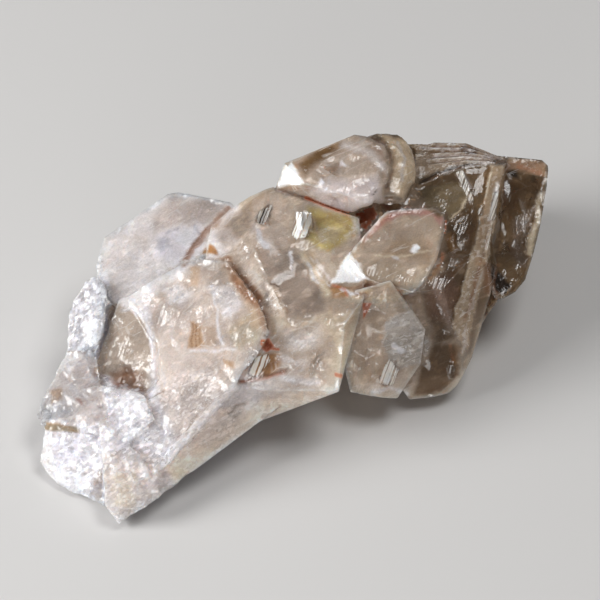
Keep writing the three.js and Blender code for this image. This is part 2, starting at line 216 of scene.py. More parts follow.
# How frosted a patch is, and how clear.
POLISHED, SATIN, ETCHED, FROSTED = 0.05, 0.25, 0.55, 0.9
SOLID, MILKY, VEILED, CLEAR, GLASSY = 0.05, 0.28, 0.5, 0.68, 0.82

# The base finish runs along the growth axis, from the frosted end to the smoky one.
ALONG_STOPS = (-58, -38, -12, 14, 28, 44)
FROST_ALONG = (FROSTED, ETCHED, SATIN, POLISHED, POLISHED, POLISHED)
CLEAR_ALONG = (MILKY, MILKY, VEILED, CLEAR, GLASSY, GLASSY)

PATCHES = (
    # left wing, with its striated white edge and grey smudges
    (WING_WHITE, 1.0, SATIN, MILKY, 1.2, 0,
     ((-41.4, 7.4), (-39.7, 12.8), (-26.6, 21.6), (-24.4, 22), (-13.8, 20.2), (-8, 14), (-22.9, 4),
      (-36.2, -4))),
    (WHITE, 0.9, FROSTED, MILKY, 1.5, 0.9, ((-40.6, 8.6), (-40, 5), (-38.6, 1))),
    (WHITE, 0.4, KEEP, MILKY, 0.8, 0.3, ((-39, 12.6), (-33, 17), (-26.6, 21.2))),
    (WHITE, 0.5, KEEP, MILKY, 0.8, 0.4, ((-30, 18.4), (-27, 20.6))),
    (LAVENDER, 0.4, KEEP, KEEP, 3.0, 0, ((-29.4, 9), (-28, 14), (-20, 15.4), (-19, 10), (-24, 6))),
    (SLATE, 0.5, KEEP, KEEP, 1.0, 0, ((-29, 10.4), (-28.4, 12), (-26.4, 12.4), (-25.4, 10.8), (-27.4, 9.6))),
    (SLATE, 0.6, KEEP, KEEP, 0.6, 0.25, ((-26.8, 13.4), (-24.4, 14.2))),
    (SLATE, 0.5, KEEP, KEEP, 0.7, 0.3, ((-21.4, 14.8), (-19.6, 13.2))),
    (WHITE, 1.0, KEEP, MILKY, 1.2, 0,
     ((-24.8, 11.6), (-23.8, 14), (-21, 14.6), (-20.4, 11.8), (-22.6, 10.8))),
    (GREY_BEIGE, 0.25, KEEP, KEEP, 1.4, 0.5, ((-35, 12.4), (-31, 12.2))),
    (MAUVE, 0.5, KEEP, VEILED, 2.4, 0,
     ((-30, 16.6), (-25, 21), (-14.4, 19.6), (-17, 15.8), (-24, 15), (-29, 13.6))),
    (RUSSET, 0.75, KEEP, MILKY, 0.8, 0.7, ((-23.4, 7.4), (-20.6, 11.2), (-18.2, 14.2), (-14.4, 18.4))),
    (BROWN, 0.6, KEEP, MILKY, 0.5, 0.2, ((-23, 8), (-20.6, 11.6), (-18.4, 14.4))),
    # frosted block
    (BLOCK_WHITE, 1.0, FROSTED, MILKY, 1.2, 0,
     ((-41.2, 5), (-45.5, 0.4), (-46.7, -10), (-40, -9.4), (-38.8, -6), (-38.6, 2))),
    (WHITE, 0.7, ETCHED, MILKY, 2.4, 0.8, ((-39, 5), (-38.6, 0), (-39.2, -6), (-40, -9))),
    (WHITE, 1.0, FROSTED, SOLID, 1.0, 0, ((-43.4, -4), (-43, -8.6), (-39.4, -8.8), (-39.4, -4.6))),
    (STEEL, 0.5, KEEP, KEEP, 1.2, 0.5, ((-43.6, 1.6), (-41.4, -0.6), (-43, -3))),
    (TAN, 0.6, KEEP, KEEP, 0.6, 0.25, ((-46, -10.2), (-43, -10.4), (-40, -10.3))),
    # slabs under it, with the lip
    (PINK_WHITE, 0.9, SATIN, VEILED, 1.2, 0,
     ((-46.6, -10.4), (-51.3, -19.4), (-52.4, -23), (-44, -24.6), (-38, -25), (-39.6, -15), (-40, -10.6))),
    (TAN, 0.7, KEEP, KEEP, 0.9, 0, ((-49.6, -17.8), (-47.4, -17.4), (-47.2, -19.8), (-49.4, -20.6))),
    (ROSE, 0.6, KEEP, KEEP, 0.6, 0.3, ((-44.4, -19.8), (-43.6, -20.4))),
    (OLIVE_SMOKE, 0.85, POLISHED, MILKY, 0.7, 0,
     ((-52, -23.6), (-44.4, -25), (-43.4, -26.6), (-50.8, -25.8))),
    (TAN, 0.6, KEEP, KEEP, 0.6, 0.2, ((-51.6, -24), (-47.6, -24.4), (-44.4, -26.2))),
    # toe and foot
    (WHITE, 1.0, FROSTED, SOLID, 1.2, 0,
     ((-51.4, -26.8), (-43, -27), (-38, -30), (-38, -35), (-44, -38), (-50.4, -35))),
    (LAVENDER, 0.4, KEEP, KEEP, 2.0, 0, ((-50, -27.6), (-43.4, -28), (-42, -33), (-48, -33))),
    (PINK_WHITE, 0.9, ETCHED, VEILED, 3.0, 0, ((-38, -30), (-30, -30), (-24, -36), (-34, -44.8), (-42, -39))),
    (OLIVE, 0.22, KEEP, KEEP, 2.4, 0, ((-37, -34.4), (-32.6, -34), (-33, -41.6), (-37, -40))),
    (TAN, 0.3, KEEP, KEEP, 1.4, 0, ((-41, -35), (-38, -33.6), (-38, -36), (-40.6, -37))),
    (WHITE, 0.8, KEEP, MILKY, 1.0, 0.6, ((-37.6, -42.6), (-35, -44), (-33, -43.4), (-32, -41.6))),
    # sunken window left of the middle
    (GREY_BEIGE, 0.85, SATIN, MILKY, 1.0, 0, ((-41, -14), (-37.6, 0), (-31, -4), (-28.6, -16), (-31, -18.6))),
    (TAN, 0.5, KEEP, KEEP, 0.7, 0.35, ((-40, -10.6), (-40.4, -14))),
    (TAN, 0.45, KEEP, KEEP, 0.5, 0.2, ((-38.6, -10.8), (-39, -14.4))),
    (BROWN, 0.7, SATIN, MILKY, 2.4, 0,
     ((-37.6, -14.4), (-33.6, -13.6), (-31, -15), (-31.2, -18.4), (-37, -17.6))),
    (BROWN, 0.7, KEEP, MILKY, 0.8, 0.45, ((-34.8, -14), (-35, -15.6), (-36.2, -16.8))),
    (BROWN, 0.6, KEEP, MILKY, 0.8, 0.4, ((-33.4, -14.2), (-32.6, -16.4), (-31.6, -17.6))),
    (ROSE, 0.4, KEEP, KEEP, 0.6, 0.25, ((-41, -14.6), (-36, -16.8), (-30.6, -18.6))),
    (WHITE, 0.7, ETCHED, MILKY, 2.2, 1.2, ((-26.6, -6), (-28, -11), (-28.4, -16), (-27.6, -20))),
    # white patch below the window
    # Frosted white, made brighter still by painted highlights where it glints.
    (WHITE, 0.9, FROSTED, SOLID, 2.0, 0,
     ((-36.4, -20), (-31, -18.4), (-28.8, -22), (-31.4, -28), (-35.4, -27))),
    (WHITE, 1.0, FROSTED, SOLID, 1.2, 0, ((-35, -21), (-31.4, -20), (-31.6, -25), (-34.4, -25.6))),
    # left of the middle
    (PALE_PINK, 0.7, SATIN, VEILED, 2.0, 0,
     ((-30, 0), (-21, 7.4), (-13.8, 7), (-8.1, 0), (-7, -8), (-16, -20), (-24, -28), (-28, -20))),
    (PINK_WHITE, 0.3, ETCHED, MILKY, 3.0, 0,
     ((-30, -17), (-24, -14), (-17, -14), (-15, -20), (-24, -30), (-30, -27))),
    (GREY_BEIGE, 0.5, KEEP, VEILED, 1.4, 0, ((-27.6, 2.6), (-22.6, 4), (-21.4, 1.6), (-25, -0.6), (-28, 0))),
    (WHITE, 0.6, ETCHED, MILKY, 1.6, 0, ((-27.6, 2.4), (-24, 3.4), (-21.4, 1.4), (-23, -1.4), (-26.6, -0.6))),
    (SLATE, 0.5, KEEP, KEEP, 0.5, 0.2, ((-25.8, 1.8), (-24.2, 2.4))),
    (SLATE, 0.5, KEEP, KEEP, 0.5, 0.2, ((-25, 0.2), (-23.4, 0.8))),
    (WHITE, 0.7, FROSTED, MILKY, 1.0, 0.4, ((-35.4, -2), (-33.4, -1.4), (-31.6, -2.6))),
    (WHITE, 0.6, ETCHED, MILKY, 1.4, 0, ((-18.8, 2.6), (-13.4, 3), (-11, -1), (-15, -4), (-16.4, -1))),
    (WHITE, 0.9, KEEP, MILKY, 0.5, 0.25, ((-17.4, 2.6), (-16.4, -2.4), (-15.6, -9))),
    (WHITE, 0.6, KEEP, MILKY, 0.6, 0.2, ((-14.6, 0), (-13.6, -4))),
    (TAN, 0.45, SATIN, VEILED, 1.2, 0, ((-19.2, -5), (-16.6, -5.4), (-16.4, -9), (-18.6, -9.2))),
    (TAN, 0.9, SATIN, MILKY, 0.8, 0, ((-21.8, -4), (-19.4, -4.6), (-19, -9.2), (-22.4, -9.6))),
    (BROWN, 0.6, KEEP, MILKY, 0.35, 0.12, ((-21.4, -4.4), (-21.6, -9.2))),
    (BROWN, 0.7, KEEP, MILKY, 0.35, 0.15, ((-20.6, -4.8), (-20.8, -9.4))),
    (BROWN, 0.5, KEEP, MILKY, 0.35, 0.1, ((-19.9, -5.2), (-19.9, -9))),
    (WHITE, 0.7, KEEP, MILKY, 0.6, 0.25, ((-21.8, -10.2), (-17, -10.4), (-12.6, -9.6))),
    (GREY_BEIGE, 0.6, KEEP, MILKY, 0.4, 0.12, ((-21, -10.8), (-16, -11), (-12, -10.4))),
    (TAN, 0.8, KEEP, MILKY, 0.7, 0, ((-15, -11.6), (-13, -12.2), (-13.2, -13.6), (-14.8, -13.4))),
    (CREAM, 0.7, KEEP, VEILED, 1.4, 0, ((-14.4, -6), (-9, -1.6), (-7.6, -5), (-8.4, -8.6), (-12.6, -9.6))),
    (TAN, 0.6, KEEP, MILKY, 0.4, 0.15, ((-13.6, -6.4), (-10.4, -4))),
    (RUSSET, 0.5, KEEP, KEEP, 0.8, 0.35, ((-20.4, 8.4), (-17, 8), (-14, 8))),
    (AMBER, 0.9, KEEP, MILKY, 0.6, 0, ((-19.8, 9.4), (-17.8, 11.2), (-15.8, 9))),
    (PEACH, 0.8, KEEP, KEEP, 0.8, 0, ((-22, 6.4), (-20, 6.6), (-20, 3), (-21.6, 3))),
    # Brown band along the crease between this crystal and the middle one: partly its own brown, partly
    # painted crevice shade.
    (TAN, 0.55, KEEP, MILKY, 1.6, 1.8, ((-14, 7), (-12.8, 4.6), (-10.8, 2.4), (-9, 0), (-8.4, -4))),
    (RUSSET, 0.6, KEEP, MILKY, 1.0, 0.8, ((-14.6, 7.8), (-12.8, 5.2))),
    (RUSSET, 0.85, KEEP, MILKY, 1.2, 1.3, ((-12.6, 4.4), (-10.6, 2.2), (-8.6, 0))),
    (BROWN, 0.6, KEEP, MILKY, 0.6, 0.3, ((-11.4, 3.2), (-10, 1.4), (-8.6, -0.6))),
    (RUSSET, 0.65, KEEP, MILKY, 1.2, 0.8, ((-8.6, -0.4), (-7.2, -3), (-6.8, -5.6))),
    # belly and the corner above it
    # Partly its own pale cream, partly painted light that lifts the underside out of its shade.
    (PALE_BELLY, 1.0, ETCHED, MILKY, 2.0, 0,
     ((-8, -20), (8, -17), (8, -19), (-8, -25), (-24, -36.6), (-27, -33), (-16, -22))),
    (AMBER, 0.85, SATIN, MILKY, 1.4, 0, ((-8.4, -10.6), (-4, -10.4), (-3.6, -13), (-7, -15.4), (-9.4, -15))),
    (PEACH, 0.6, KEEP, MILKY, 1.0, 0.4, ((-5.4, -9.6), (-2.6, -10))),
    (RUSSET, 0.7, KEEP, MILKY, 0.7, 0.3, ((-8.6, -12.4), (-6.4, -13), (-3.8, -12.2))),
    (BROWN, 0.8, KEEP, MILKY, 0.8, 0.35, ((-12, -16.2), (-9, -15.4), (-4.6, -14.2), (-2.6, -13.8))),
    (GREY_BEIGE, 0.3, KEEP, KEEP, 0.7, 0.2, ((-12.6, -17.6), (-14, -19.4), (-15.8, -21.6))),
    (SMOKE_GREY, 0.7, KEEP, MILKY, 0.6, 0.3, ((-13.8, -22.6), (-12.4, -21.2), (-10.8, -20.4))),
    (SMOKE_GREY, 0.6, KEEP, MILKY, 0.5, 0.2, ((-13, -23.4), (-11.4, -22))),
    (SMOKE_GREY, 0.6, KEEP, MILKY, 0.6, 0.25, ((-22.6, -26.6), (-21.4, -24.4), (-20.4, -22.8))),
    (SMOKE_GREY, 0.5, KEEP, MILKY, 0.5, 0.2, ((-22, -28), (-20.6, -25.6))),
    (OLIVE, 0.2, KEEP, KEEP, 1.8, 0, ((-25.4, -34), (-22.8, -33.8), (-23, -36), (-25, -36))),
    (WHITE, 0.4, ETCHED, KEEP, 2.4, 1.0, ((-25, -32), (-17, -25), (-9, -20.6))),
    (WHITE, 0.7, ETCHED, MILKY, 1.2, 0.6, ((-3.6, -15.4), (-0.6, -16), (3, -16.4))),
    # broad middle crystal
    (WARM_BEIGE, 0.35, POLISHED, VEILED, 2.0, 0,
     ((-7, 4), (10, 3), (10.4, -4), (7.6, -15), (-2, -13), (-6, -8))),
    (CREAM, 0.45, POLISHED, VEILED, 2.4, 0, ((-6, -2), (9.6, -3), (8, -14), (0, -12), (-5.6, -8))),
    (GREY_BEIGE, 0.3, KEEP, CLEAR, 3.0, 0, ((-6.4, 4.6), (0.8, 5), (1.4, 0), (-5, -1))),
    (PALE_PINK, 0.6, SATIN, VEILED, 2.0, 0, ((-5, -5), (4, -4.4), (7, -9), (6, -14), (-1, -13), (-5, -9))),
    (WHITE, 0.5, ETCHED, MILKY, 3.0, 0, ((-3, -6.6), (3.4, -6), (4, -8.6), (0.6, -10), (-3, -9.4))),
    (WHITE, 0.4, ETCHED, MILKY, 2.0, 0.7, ((-4, -11.6), (1, -12.4))),
    (PALE_PINK, 0.6, POLISHED, VEILED, 1.4, 0,
     ((-17, 13), (-8, 20.6), (-4, 21.6), (-1.6, 17), (-6, 8), (-12, 6))),
    (WARM_BEIGE, 0.8, POLISHED, CLEAR, 2.0, 0, ((-15, 15), (-9.6, 19.6), (-9.4, 15), (-11, 11))),
    (TAN, 0.35, KEEP, KEEP, 1.4, 0.7, ((-16.4, 14.4), (-11, 18.6), (-6, 21.8))),
    (PALE_PINK, 0.7, KEEP, VEILED, 0.8, 0, ((-9, 13.6), (-2.4, 15), (-1.6, 11), (-4, 10.2), (-8.8, 10.4))),
    (WHITE, 0.95, SATIN, MILKY, 0.6, 0.7, ((-8.4, 13.4), (-7.8, 11.8), (-6.6, 10.8))),
    (MAUVE, 0.6, KEEP, CLEAR, 1.6, 0,
     ((-8.6, 10), (-2, 10.4), (4, 6), (5, -3), (-1, -5), (-6, -2), (-7.6, 3))),
    (GREY_BEIGE, 0.5, KEEP, KEEP, 0.4, 0.15, ((-8.4, 10.2), (-3.6, 10.2))),
    (PEACH, 0.6, KEEP, KEEP, 0.8, 0, ((-2.2, 12), (-0.4, 12), (-0.4, 10.6), (-2, 10.6))),
    (WHITE, 0.3, KEEP, MILKY, 1.4, 0.6, ((-6.2, 12), (-5, 9.4))),
    # Painted shade on stepped facets that face away from the light, under the dark glint's stripes.
    (DARK, 0.9, POLISHED, MILKY, 0.5, 0,
     ((-8.8, 15.4), (-8.4, 17.6), (-5.8, 19.2), (-5.2, 18.4), (-6.8, 14.8))),
    (OLIVE, 0.95, SATIN, VEILED, 1.4, 0, ((1.6, 18.8), (11.2, 16.6), (11.6, 13.8), (6, 9.4), (1, 12))),
    (AMBER, 0.6, KEEP, MILKY, 0.8, 0.35, ((9.4, 17), (11.2, 15), (10.6, 12.6))),
    (BROWN, 0.35, KEEP, KEEP, 0.6, 0.2, ((3, 15.8), (6.4, 16.4), (9, 14.6))),
    (TAN, 0.45, KEEP, KEEP, 0.6, 0.3, ((5.6, 17.4), (8.6, 15.8), (10.2, 13.4))),
    (WARM_BEIGE, 0.6, KEEP, KEEP, 0.8, 0.4, ((2.2, 16.4), (3.4, 13.6), (5, 11.6))),
    (CREAM, 0.5, KEEP, KEEP, 1.4, 0, ((4, 14.6), (8.6, 14.4), (7, 11.4), (3.4, 12))),
    (WHITE, 0.6, KEEP, MILKY, 1.0, 0.3, ((10.8, 16), (11.4, 14.2), (9, 12.6))),
    # Painted highlight: a thin glint.
    (WHITE, 1.0, POLISHED, SOLID, 0.4, 0.25, ((-1.8, 9.8), (-1.5, 6.2))),
    (WARM_BEIGE, 0.5, ETCHED, MILKY, 1.0, 0, ((-6.8, 3.6), (-4.4, 2.4), (-2.6, -3.4), (-5.4, -3.4))),
    (HONEY, 0.7, KEEP, VEILED, 1.6, 0.9, ((2, 11), (3, 6), (6, 1.6))),
    # The white and bright streaks here are painted highlights. The cream and honey streaks are the quartz's
    # own colour.
    (CREAM, 0.8, SATIN, MILKY, 1.0, 0.5, ((0.6, 9), (2.4, 5), (5.6, 1.4))),
    (WHITE, 0.9, SATIN, MILKY, 0.5, 0.25, ((1.4, 7.4), (2.4, 5), (3.6, 3.4))),
    (HONEY, 0.8, KEEP, MILKY, 0.4, 0.18, ((0.6, 10), (2.4, 6.4), (5.6, 2.4))),
    (HIGHLIGHT_WHITE, 0.8, SATIN, MILKY, 0.35, 0.12, ((2.2, 8.6), (4.2, 4.6), (6.2, 2.6))),
    (WHITE, 0.6, SATIN, MILKY, 0.7, 0.25, ((3.4, 8), (4.8, 5.4), (7, 3.4))),
    (AMBER, 0.5, KEEP, KEEP, 0.8, 0.4, ((6.2, 3.4), (10.2, 2))),
    (CREAM, 0.8, KEEP, KEEP, 0.7, 0.5, ((12, -0.8), (10.4, -6), (8.8, -13.8))),
    # top crystal
    (PALE_PINK, 0.6, POLISHED, VEILED, 1.2, 0,
     ((-3, 27), (10.9, 33), (17, 31), (18, 24), (14, 18.8), (0, 21))),
    (TAN, 0.3, KEEP, KEEP, 1.0, 0.6, ((-1.6, 28.6), (4, 31.4), (10.6, 33.4))),
    (SMOKE_BROWN, 1.0, SATIN, SOLID, 2.6, 0,
     ((-1, 27), (3.6, 31), (8.6, 32.6), (8, 29.6), (3.6, 27), (1, 24.6))),
    (PALE_PINK, 0.95, POLISHED, MILKY, 0.9, 0,
     ((2.6, 21.8), (8.6, 24.4), (15.6, 25.6), (15, 22), (13, 18.8), (7.6, 19))),
    (WHITE, 0.5, SATIN, MILKY, 1.6, 0.7, ((9, 31), (14, 29.6), (16.4, 26.4))),
    (LAVENDER, 0.35, POLISHED, MILKY, 1.8, 0,
     ((2, 22.4), (6, 24.6), (11, 23.4), (15.4, 24.8), (16.6, 20), (12, 17), (4, 18.8))),
    (TAN, 0.45, KEEP, KEEP, 1.0, 0.4, ((6.8, 31.2), (7.6, 30.6))),
    # The white and bright rows here are painted highlights: glints in the pit, two small glints and the
    # bright triangle face.
    (WHITE, 1.0, POLISHED, SOLID, 0.5, 0, ((8.4, 28), (8, 26.8), (9.8, 26.2))),
    (HIGHLIGHT_WHITE, 1.0, POLISHED, SOLID, 0.4, 0, ((3.8, 24.4), (3.2, 22.8), (4.6, 23.2))),
    (HIGHLIGHT_WHITE, 1.0, POLISHED, SOLID, 0.4, 0, ((5.6, 23.2), (4.6, 21.8), (5.4, 22))),
    (DARK, 0.95, KEEP, SOLID, 0.3, 0.15, ((14.2, 21), (15, 21.8))),
    (HIGHLIGHT_WHITE, 1.0, POLISHED, SOLID, 0.4, 0, ((-1.8, 27.6), (-4.8, 22.8), (1, 23.2))),
    (BROWN, 0.5, SATIN, MILKY, 0.6, 0.3, ((-4.4, 22), (-1, 22), (1.6, 22.4))),
    # ledges behind it
    (HONEY, 0.95, SATIN, MILKY, 1.2, 0,
     ((16, 33.6), (22, 31.6), (23.6, 25), (20.6, 20), (18, 23), (18.6, 29))),
    (TAN, 0.35, KEEP, KEEP, 0.7, 0.25, ((15.6, 32.6), (19, 30.4), (18.8, 26.4), (17, 24))),
    (WHITE, 0.6, KEEP, MILKY, 0.6, 0.25, ((19.6, 31.6), (21, 28), (20.4, 24))),
    (TAN, 0.2, KEEP, KEEP, 0.8, 0.3, ((22, 31), (23, 27), (21.6, 22.6))),
    # right of the middle
    (WARM_BEIGE, 0.7, POLISHED, VEILED, 1.0, 0,
     ((9.8, 9.6), (12, 14), (20, 18), (28, 17.6), (27.4, 8), (22, 1.4), (10, 0))),
    (ROSE, 0.9, KEEP, MILKY, 0.9, 0.8, ((12.4, 12.4), (16, 15.4), (20, 18), (27, 17.6), (28.4, 15.6))),
    (TAN, 0.4, KEEP, KEEP, 1.6, 0, ((15.4, 8.6), (20, 12.6), (25.6, 10), (25, 8), (20, 8.6))),
    (SMOKE_GREY, 0.5, KEEP, MILKY, 1.0, 0,
     ((15.6, 9), (19.4, 12), (24.8, 13.4), (26.8, 9), (25, 5), (22.4, 8))),
    (GREY_BEIGE, 0.95, KEEP, MILKY, 2.4, 0, ((14, 9), (20, 8), (22, 4), (17, 0.4), (12.6, 3))),
    (CREAM, 0.1, KEEP, KEEP, 1.0, 0, ((16, 7), (21, 7.4), (22.4, 3.6), (18, 2), (13, 4))),
    (CREAM, 0.7, KEEP, MILKY, 0.4, 0.18, ((15, 8.8), (20, 8.8), (26, 9.6))),
    # Painted highlights: two round glints.
    (HIGHLIGHT_WHITE, 1.0, POLISHED, SOLID, 0.4, 0.7, ((22.6, 10), (23, 10.3))),
    (WHITE, 0.9, KEEP, MILKY, 0.5, 0.25, ((19, 8.6), (19.8, 8.4))),
    (AMBER, 0.6, KEEP, MILKY, 1.4, 0.6, ((27.6, 9), (27, 6), (25.8, 4))),
    (BROWN, 0.4, KEEP, MILKY, 0.8, 0.3, ((25.6, 12), (27.6, 9), (27, 6))),
    # Painted highlight: the bright triangle face.
    (HIGHLIGHT_WHITE, 1.0, POLISHED, SOLID, 0.4, 0, ((9.7, 9.8), (6, 3.2), (13.8, 4.2))),
    (CREAM, 0.7, SATIN, VEILED, 1.0, 0.7, ((9.6, 0.2), (16, 0), (21, 1))),
    (RUSSET, 0.7, KEEP, MILKY, 0.6, 0.35, ((6.4, 2.6), (9, 2.2), (12.4, 3.2))),
    (AMBER, 0.75, KEEP, MILKY, 0.8, 0, ((6, 2.6), (9.4, 2.2), (9, 0.2), (6.6, 0.4))),
    (HONEY, 0.8, KEEP, MILKY, 0.8, 0, ((9.6, 2), (14.4, 2.4), (14.4, -0.2), (10, 0))),
    # Painted highlight: glints under the triangle face.
    (WHITE, 1.0, SATIN, SOLID, 0.5, 0.35, ((8.6, 2), (10, 1.2), (11.2, 1.6))),
    # lower front
    (WARM_BEIGE, 0.8, POLISHED, VEILED, 1.2, 0,
     ((12, -1), (9.2, -14), (10, -18.6), (17, -19.4), (18, -8), (16, -3))),
    (STEEL, 0.6, ETCHED, MILKY, 0.7, 0,
     ((16.8, -4.4), (22.2, -1.8), (26.6, -8.6), (23.8, -13), (18.4, -14), (16.4, -9))),
    (WHITE, 0.2, KEEP, MILKY, 1.6, 0.8, ((17.6, -5.4), (21.6, -3.6), (24, -6.4))),
    # Painted highlights: glints on the etched face.
    (WHITE, 0.95, POLISHED, SOLID, 0.5, 0.6, ((18.8, -8.8), (20.2, -10.2))),
    (WHITE, 0.7, KEEP, MILKY, 0.4, 0.25, ((24, -12.4), (24.6, -12.8))),
    (PALE_PINK, 0.5, SATIN, VEILED, 1.2, 0, ((17, -14.6), (23, -14), (22, -19.6), (13, -18.6))),
    (WHITE, 0.7, ETCHED, MILKY, 0.8, 0.35, ((14.4, -18.4), (18, -17.4), (21.4, -18.6))),
    # smoky right end: its main flats
    (SMOKE_GREY, 0.7, POLISHED, GLASSY, 1.2, 0,
     ((23, 21), (33, 26), (36, 26), (34, 14), (29.6, 14), (27.6, 19))),
    (OLIVE_SMOKE, 0.8, SATIN, CLEAR, 0.8, 0, ((24, 22.6), (33, 23.6), (34, 20.8), (30, 15.8), (25, 18))),
    (SMOKE_BROWN, 0.8, SATIN, CLEAR, 2.0, 0, ((29.6, 15), (35, 20), (34.4, 8), (30.6, 4), (28.4, 7.6))),
    (SMOKE_BROWN, 0.75, SATIN, CLEAR, 2.0, 0, ((24, 1), (30, 7), (33.6, 4), (31, -8), (27.4, -9))),
    (PALE_PINK, 0.4, KEEP, VEILED, 1.4, 0.7, ((27, 3.4), (28.6, -1), (30, -6))),
    (SMOKE_BROWN, 0.8, POLISHED, CLEAR, 1.4, 0,
     ((24.4, -13), (27, -9), (31, -9), (32, -15), (28, -18.6), (22.6, -19))),
    # Painted highlights: silvery glints.
    (WHITE, 0.25, SATIN, VEILED, 0.7, 0.3, ((31.6, 25), (33.2, 22.2), (34.2, 19.6))),
    (WHITE, 0.6, SATIN, VEILED, 0.6, 0.25, ((32.8, 25.6), (34.4, 22.6))),
    (CREAM, 0.8, KEEP, MILKY, 0.4, 0.18, ((34, 21), (32, 18), (30, 15.8))),
    (AMBER, 0.4, KEEP, VEILED, 1.6, 0.8, ((30, 12.6), (30.6, 10.4))),
    (ROSE, 0.25, KEEP, KEEP, 2.4, 0, ((25, 3), (30, 5.6), (32, 2), (30, -5), (26, -3))),
    # its side band
    (SMOKE_PALE, 0.9, ETCHED, MILKY, 0.6, 0,
     ((38.6, 27), (41, 26.6), (37.6, 8), (33.2, -10), (30.2, -4.6), (34, 8))),
    # Painted highlight along the band.
    (HIGHLIGHT_WHITE, 0.8, SATIN, SOLID, 0.7, 0.3, ((39.4, 23.4), (38.6, 18.6), (38, 16.2))),
    (CREAM, 0.6, KEEP, MILKY, 0.4, 0.2, ((38.4, 25.6), (36, 15), (33.4, 6), (31, -3))),
    (WHITE, 0.35, KEEP, MILKY, 0.6, 0.25, ((33, -5.6), (32.4, -10.6))),
    (SMOKE_BROWN, 0.8, KEEP, CLEAR, 0.6, 0.25, ((37.6, 26.6), (36.4, 17), (33, 6), (30.2, -4.6))),
    (BROWN, 0.4, KEEP, MILKY, 0.6, 0.2, ((34.6, 9.4), (37, 9.2))),
    (BROWN, 0.5, KEEP, MILKY, 0.5, 0.15, ((40, 24), (38, 15), (36, 7), (33.6, -2))),
    (TAN, 0.6, KEEP, MILKY, 0.5, 0.2, ((37.2, 20), (36.4, 13), (34.8, 7))),
    (RUSSET, 0.6, KEEP, MILKY, 0.7, 0.3, ((36, 8.6), (35, 3), (33, -4))),
    (WHITE, 0.4, SATIN, MILKY, 0.5, 0.15, ((36.4, 6), (34.4, -1.6))),
    (CREAM, 0.4, SATIN, VEILED, 1.0, 0.6, ((38.6, -0.4), (35.4, -8), (33, -15.6), (29.6, -18.8))),
    (AMBER, 0.4, KEEP, KEEP, 1.0, 0.5, ((31.4, -9.4), (30.8, -12.6))),
    (DARK, 0.6, KEEP, MILKY, 1.0, 0.6, ((30, -13.6), (30.6, -15))),
    # far right slab
    (SMOKE_BROWN, 0.6, SATIN, GLASSY, 1.0, 0, ((40.4, 25), (48.4, 24), (48.6, 18), (45, 6), (40, 12))),
    (SMOKE_BROWN, 0.6, KEEP, GLASSY, 2.0, 0, ((40.6, 24), (44, 24), (43, 14), (40.2, 14))),
    (SLATE, 0.2, KEEP, CLEAR, 2.0, 1.2, ((44, 15), (43.4, 11), (44.4, 7.6))),
    (STEEL, 0.4, KEEP, VEILED, 1.0, 0.3, ((44.6, 20), (45.4, 13))),
    (PINK_TAN, 0.9, SATIN, MILKY, 0.9, 0,
     ((41.6, 28.8), (49.4, 27.6), (49.8, 24.6), (44.6, 25.8), (41.4, 26))),
    (DARK, 0.95, SATIN, SOLID, 1.0, 0, ((41.2, 26.4), (43.8, 25.8), (44, 24.2), (41.6, 24.4))),
    (CREAM, 0.75, SATIN, MILKY, 0.8, 0.6, ((48.2, 21), (47.4, 15.6), (45.8, 9.6))),
    (TAN, 0.3, KEEP, KEEP, 1.0, 0.5, ((49.2, 26.6), (49.2, 23.4))),
    (BROWN, 0.7, SATIN, MILKY, 1.2, 0, ((36.6, 8), (40, 4.8), (39.6, 1), (36.6, 1))),
    (DARK, 1.0, SATIN, SOLID, 1.0, 0, ((38, 7.6), (42.6, 3), (40.6, 0.6), (38.6, 1.6))),
    # ledges over its top
    (GREY_BEIGE, 0.7, ETCHED, MILKY, 0.8, 0,
     ((22.6, 31.6), (33, 31.8), (41, 28.6), (36, 27.2), (23.4, 24.6))),
    (WHITE, 0.6, KEEP, MILKY, 0.5, 0.2, ((24.4, 30.4), (33.6, 30.2))),
    (WHITE, 0.5, KEEP, MILKY, 0.5, 0.2, ((26.4, 28.6), (34.4, 28.8))),
    (SMOKE_BROWN, 0.6, KEEP, KEEP, 0.5, 0.2, ((24.4, 29.4), (34, 29.6))),
    # Painted shade in a small hole between the ledges.
    (DARK, 0.95, KEEP, SOLID, 0.7, 0.9, ((32.8, 30.6), (34.8, 29.8))),
    (LAVENDER, 0.7, SATIN, SOLID, 0.6, 0.35, ((35.6, 31), (37.6, 30.4))),
    (PINK_WHITE, 0.6, KEEP, KEEP, 0.9, 0.7, ((37.6, 28.8), (40.8, 27.8))),
    (DARK, 0.9, KEEP, SOLID, 0.6, 0.45, ((24, 23.6), (29, 26), (34, 27), (38, 27.4))),
)

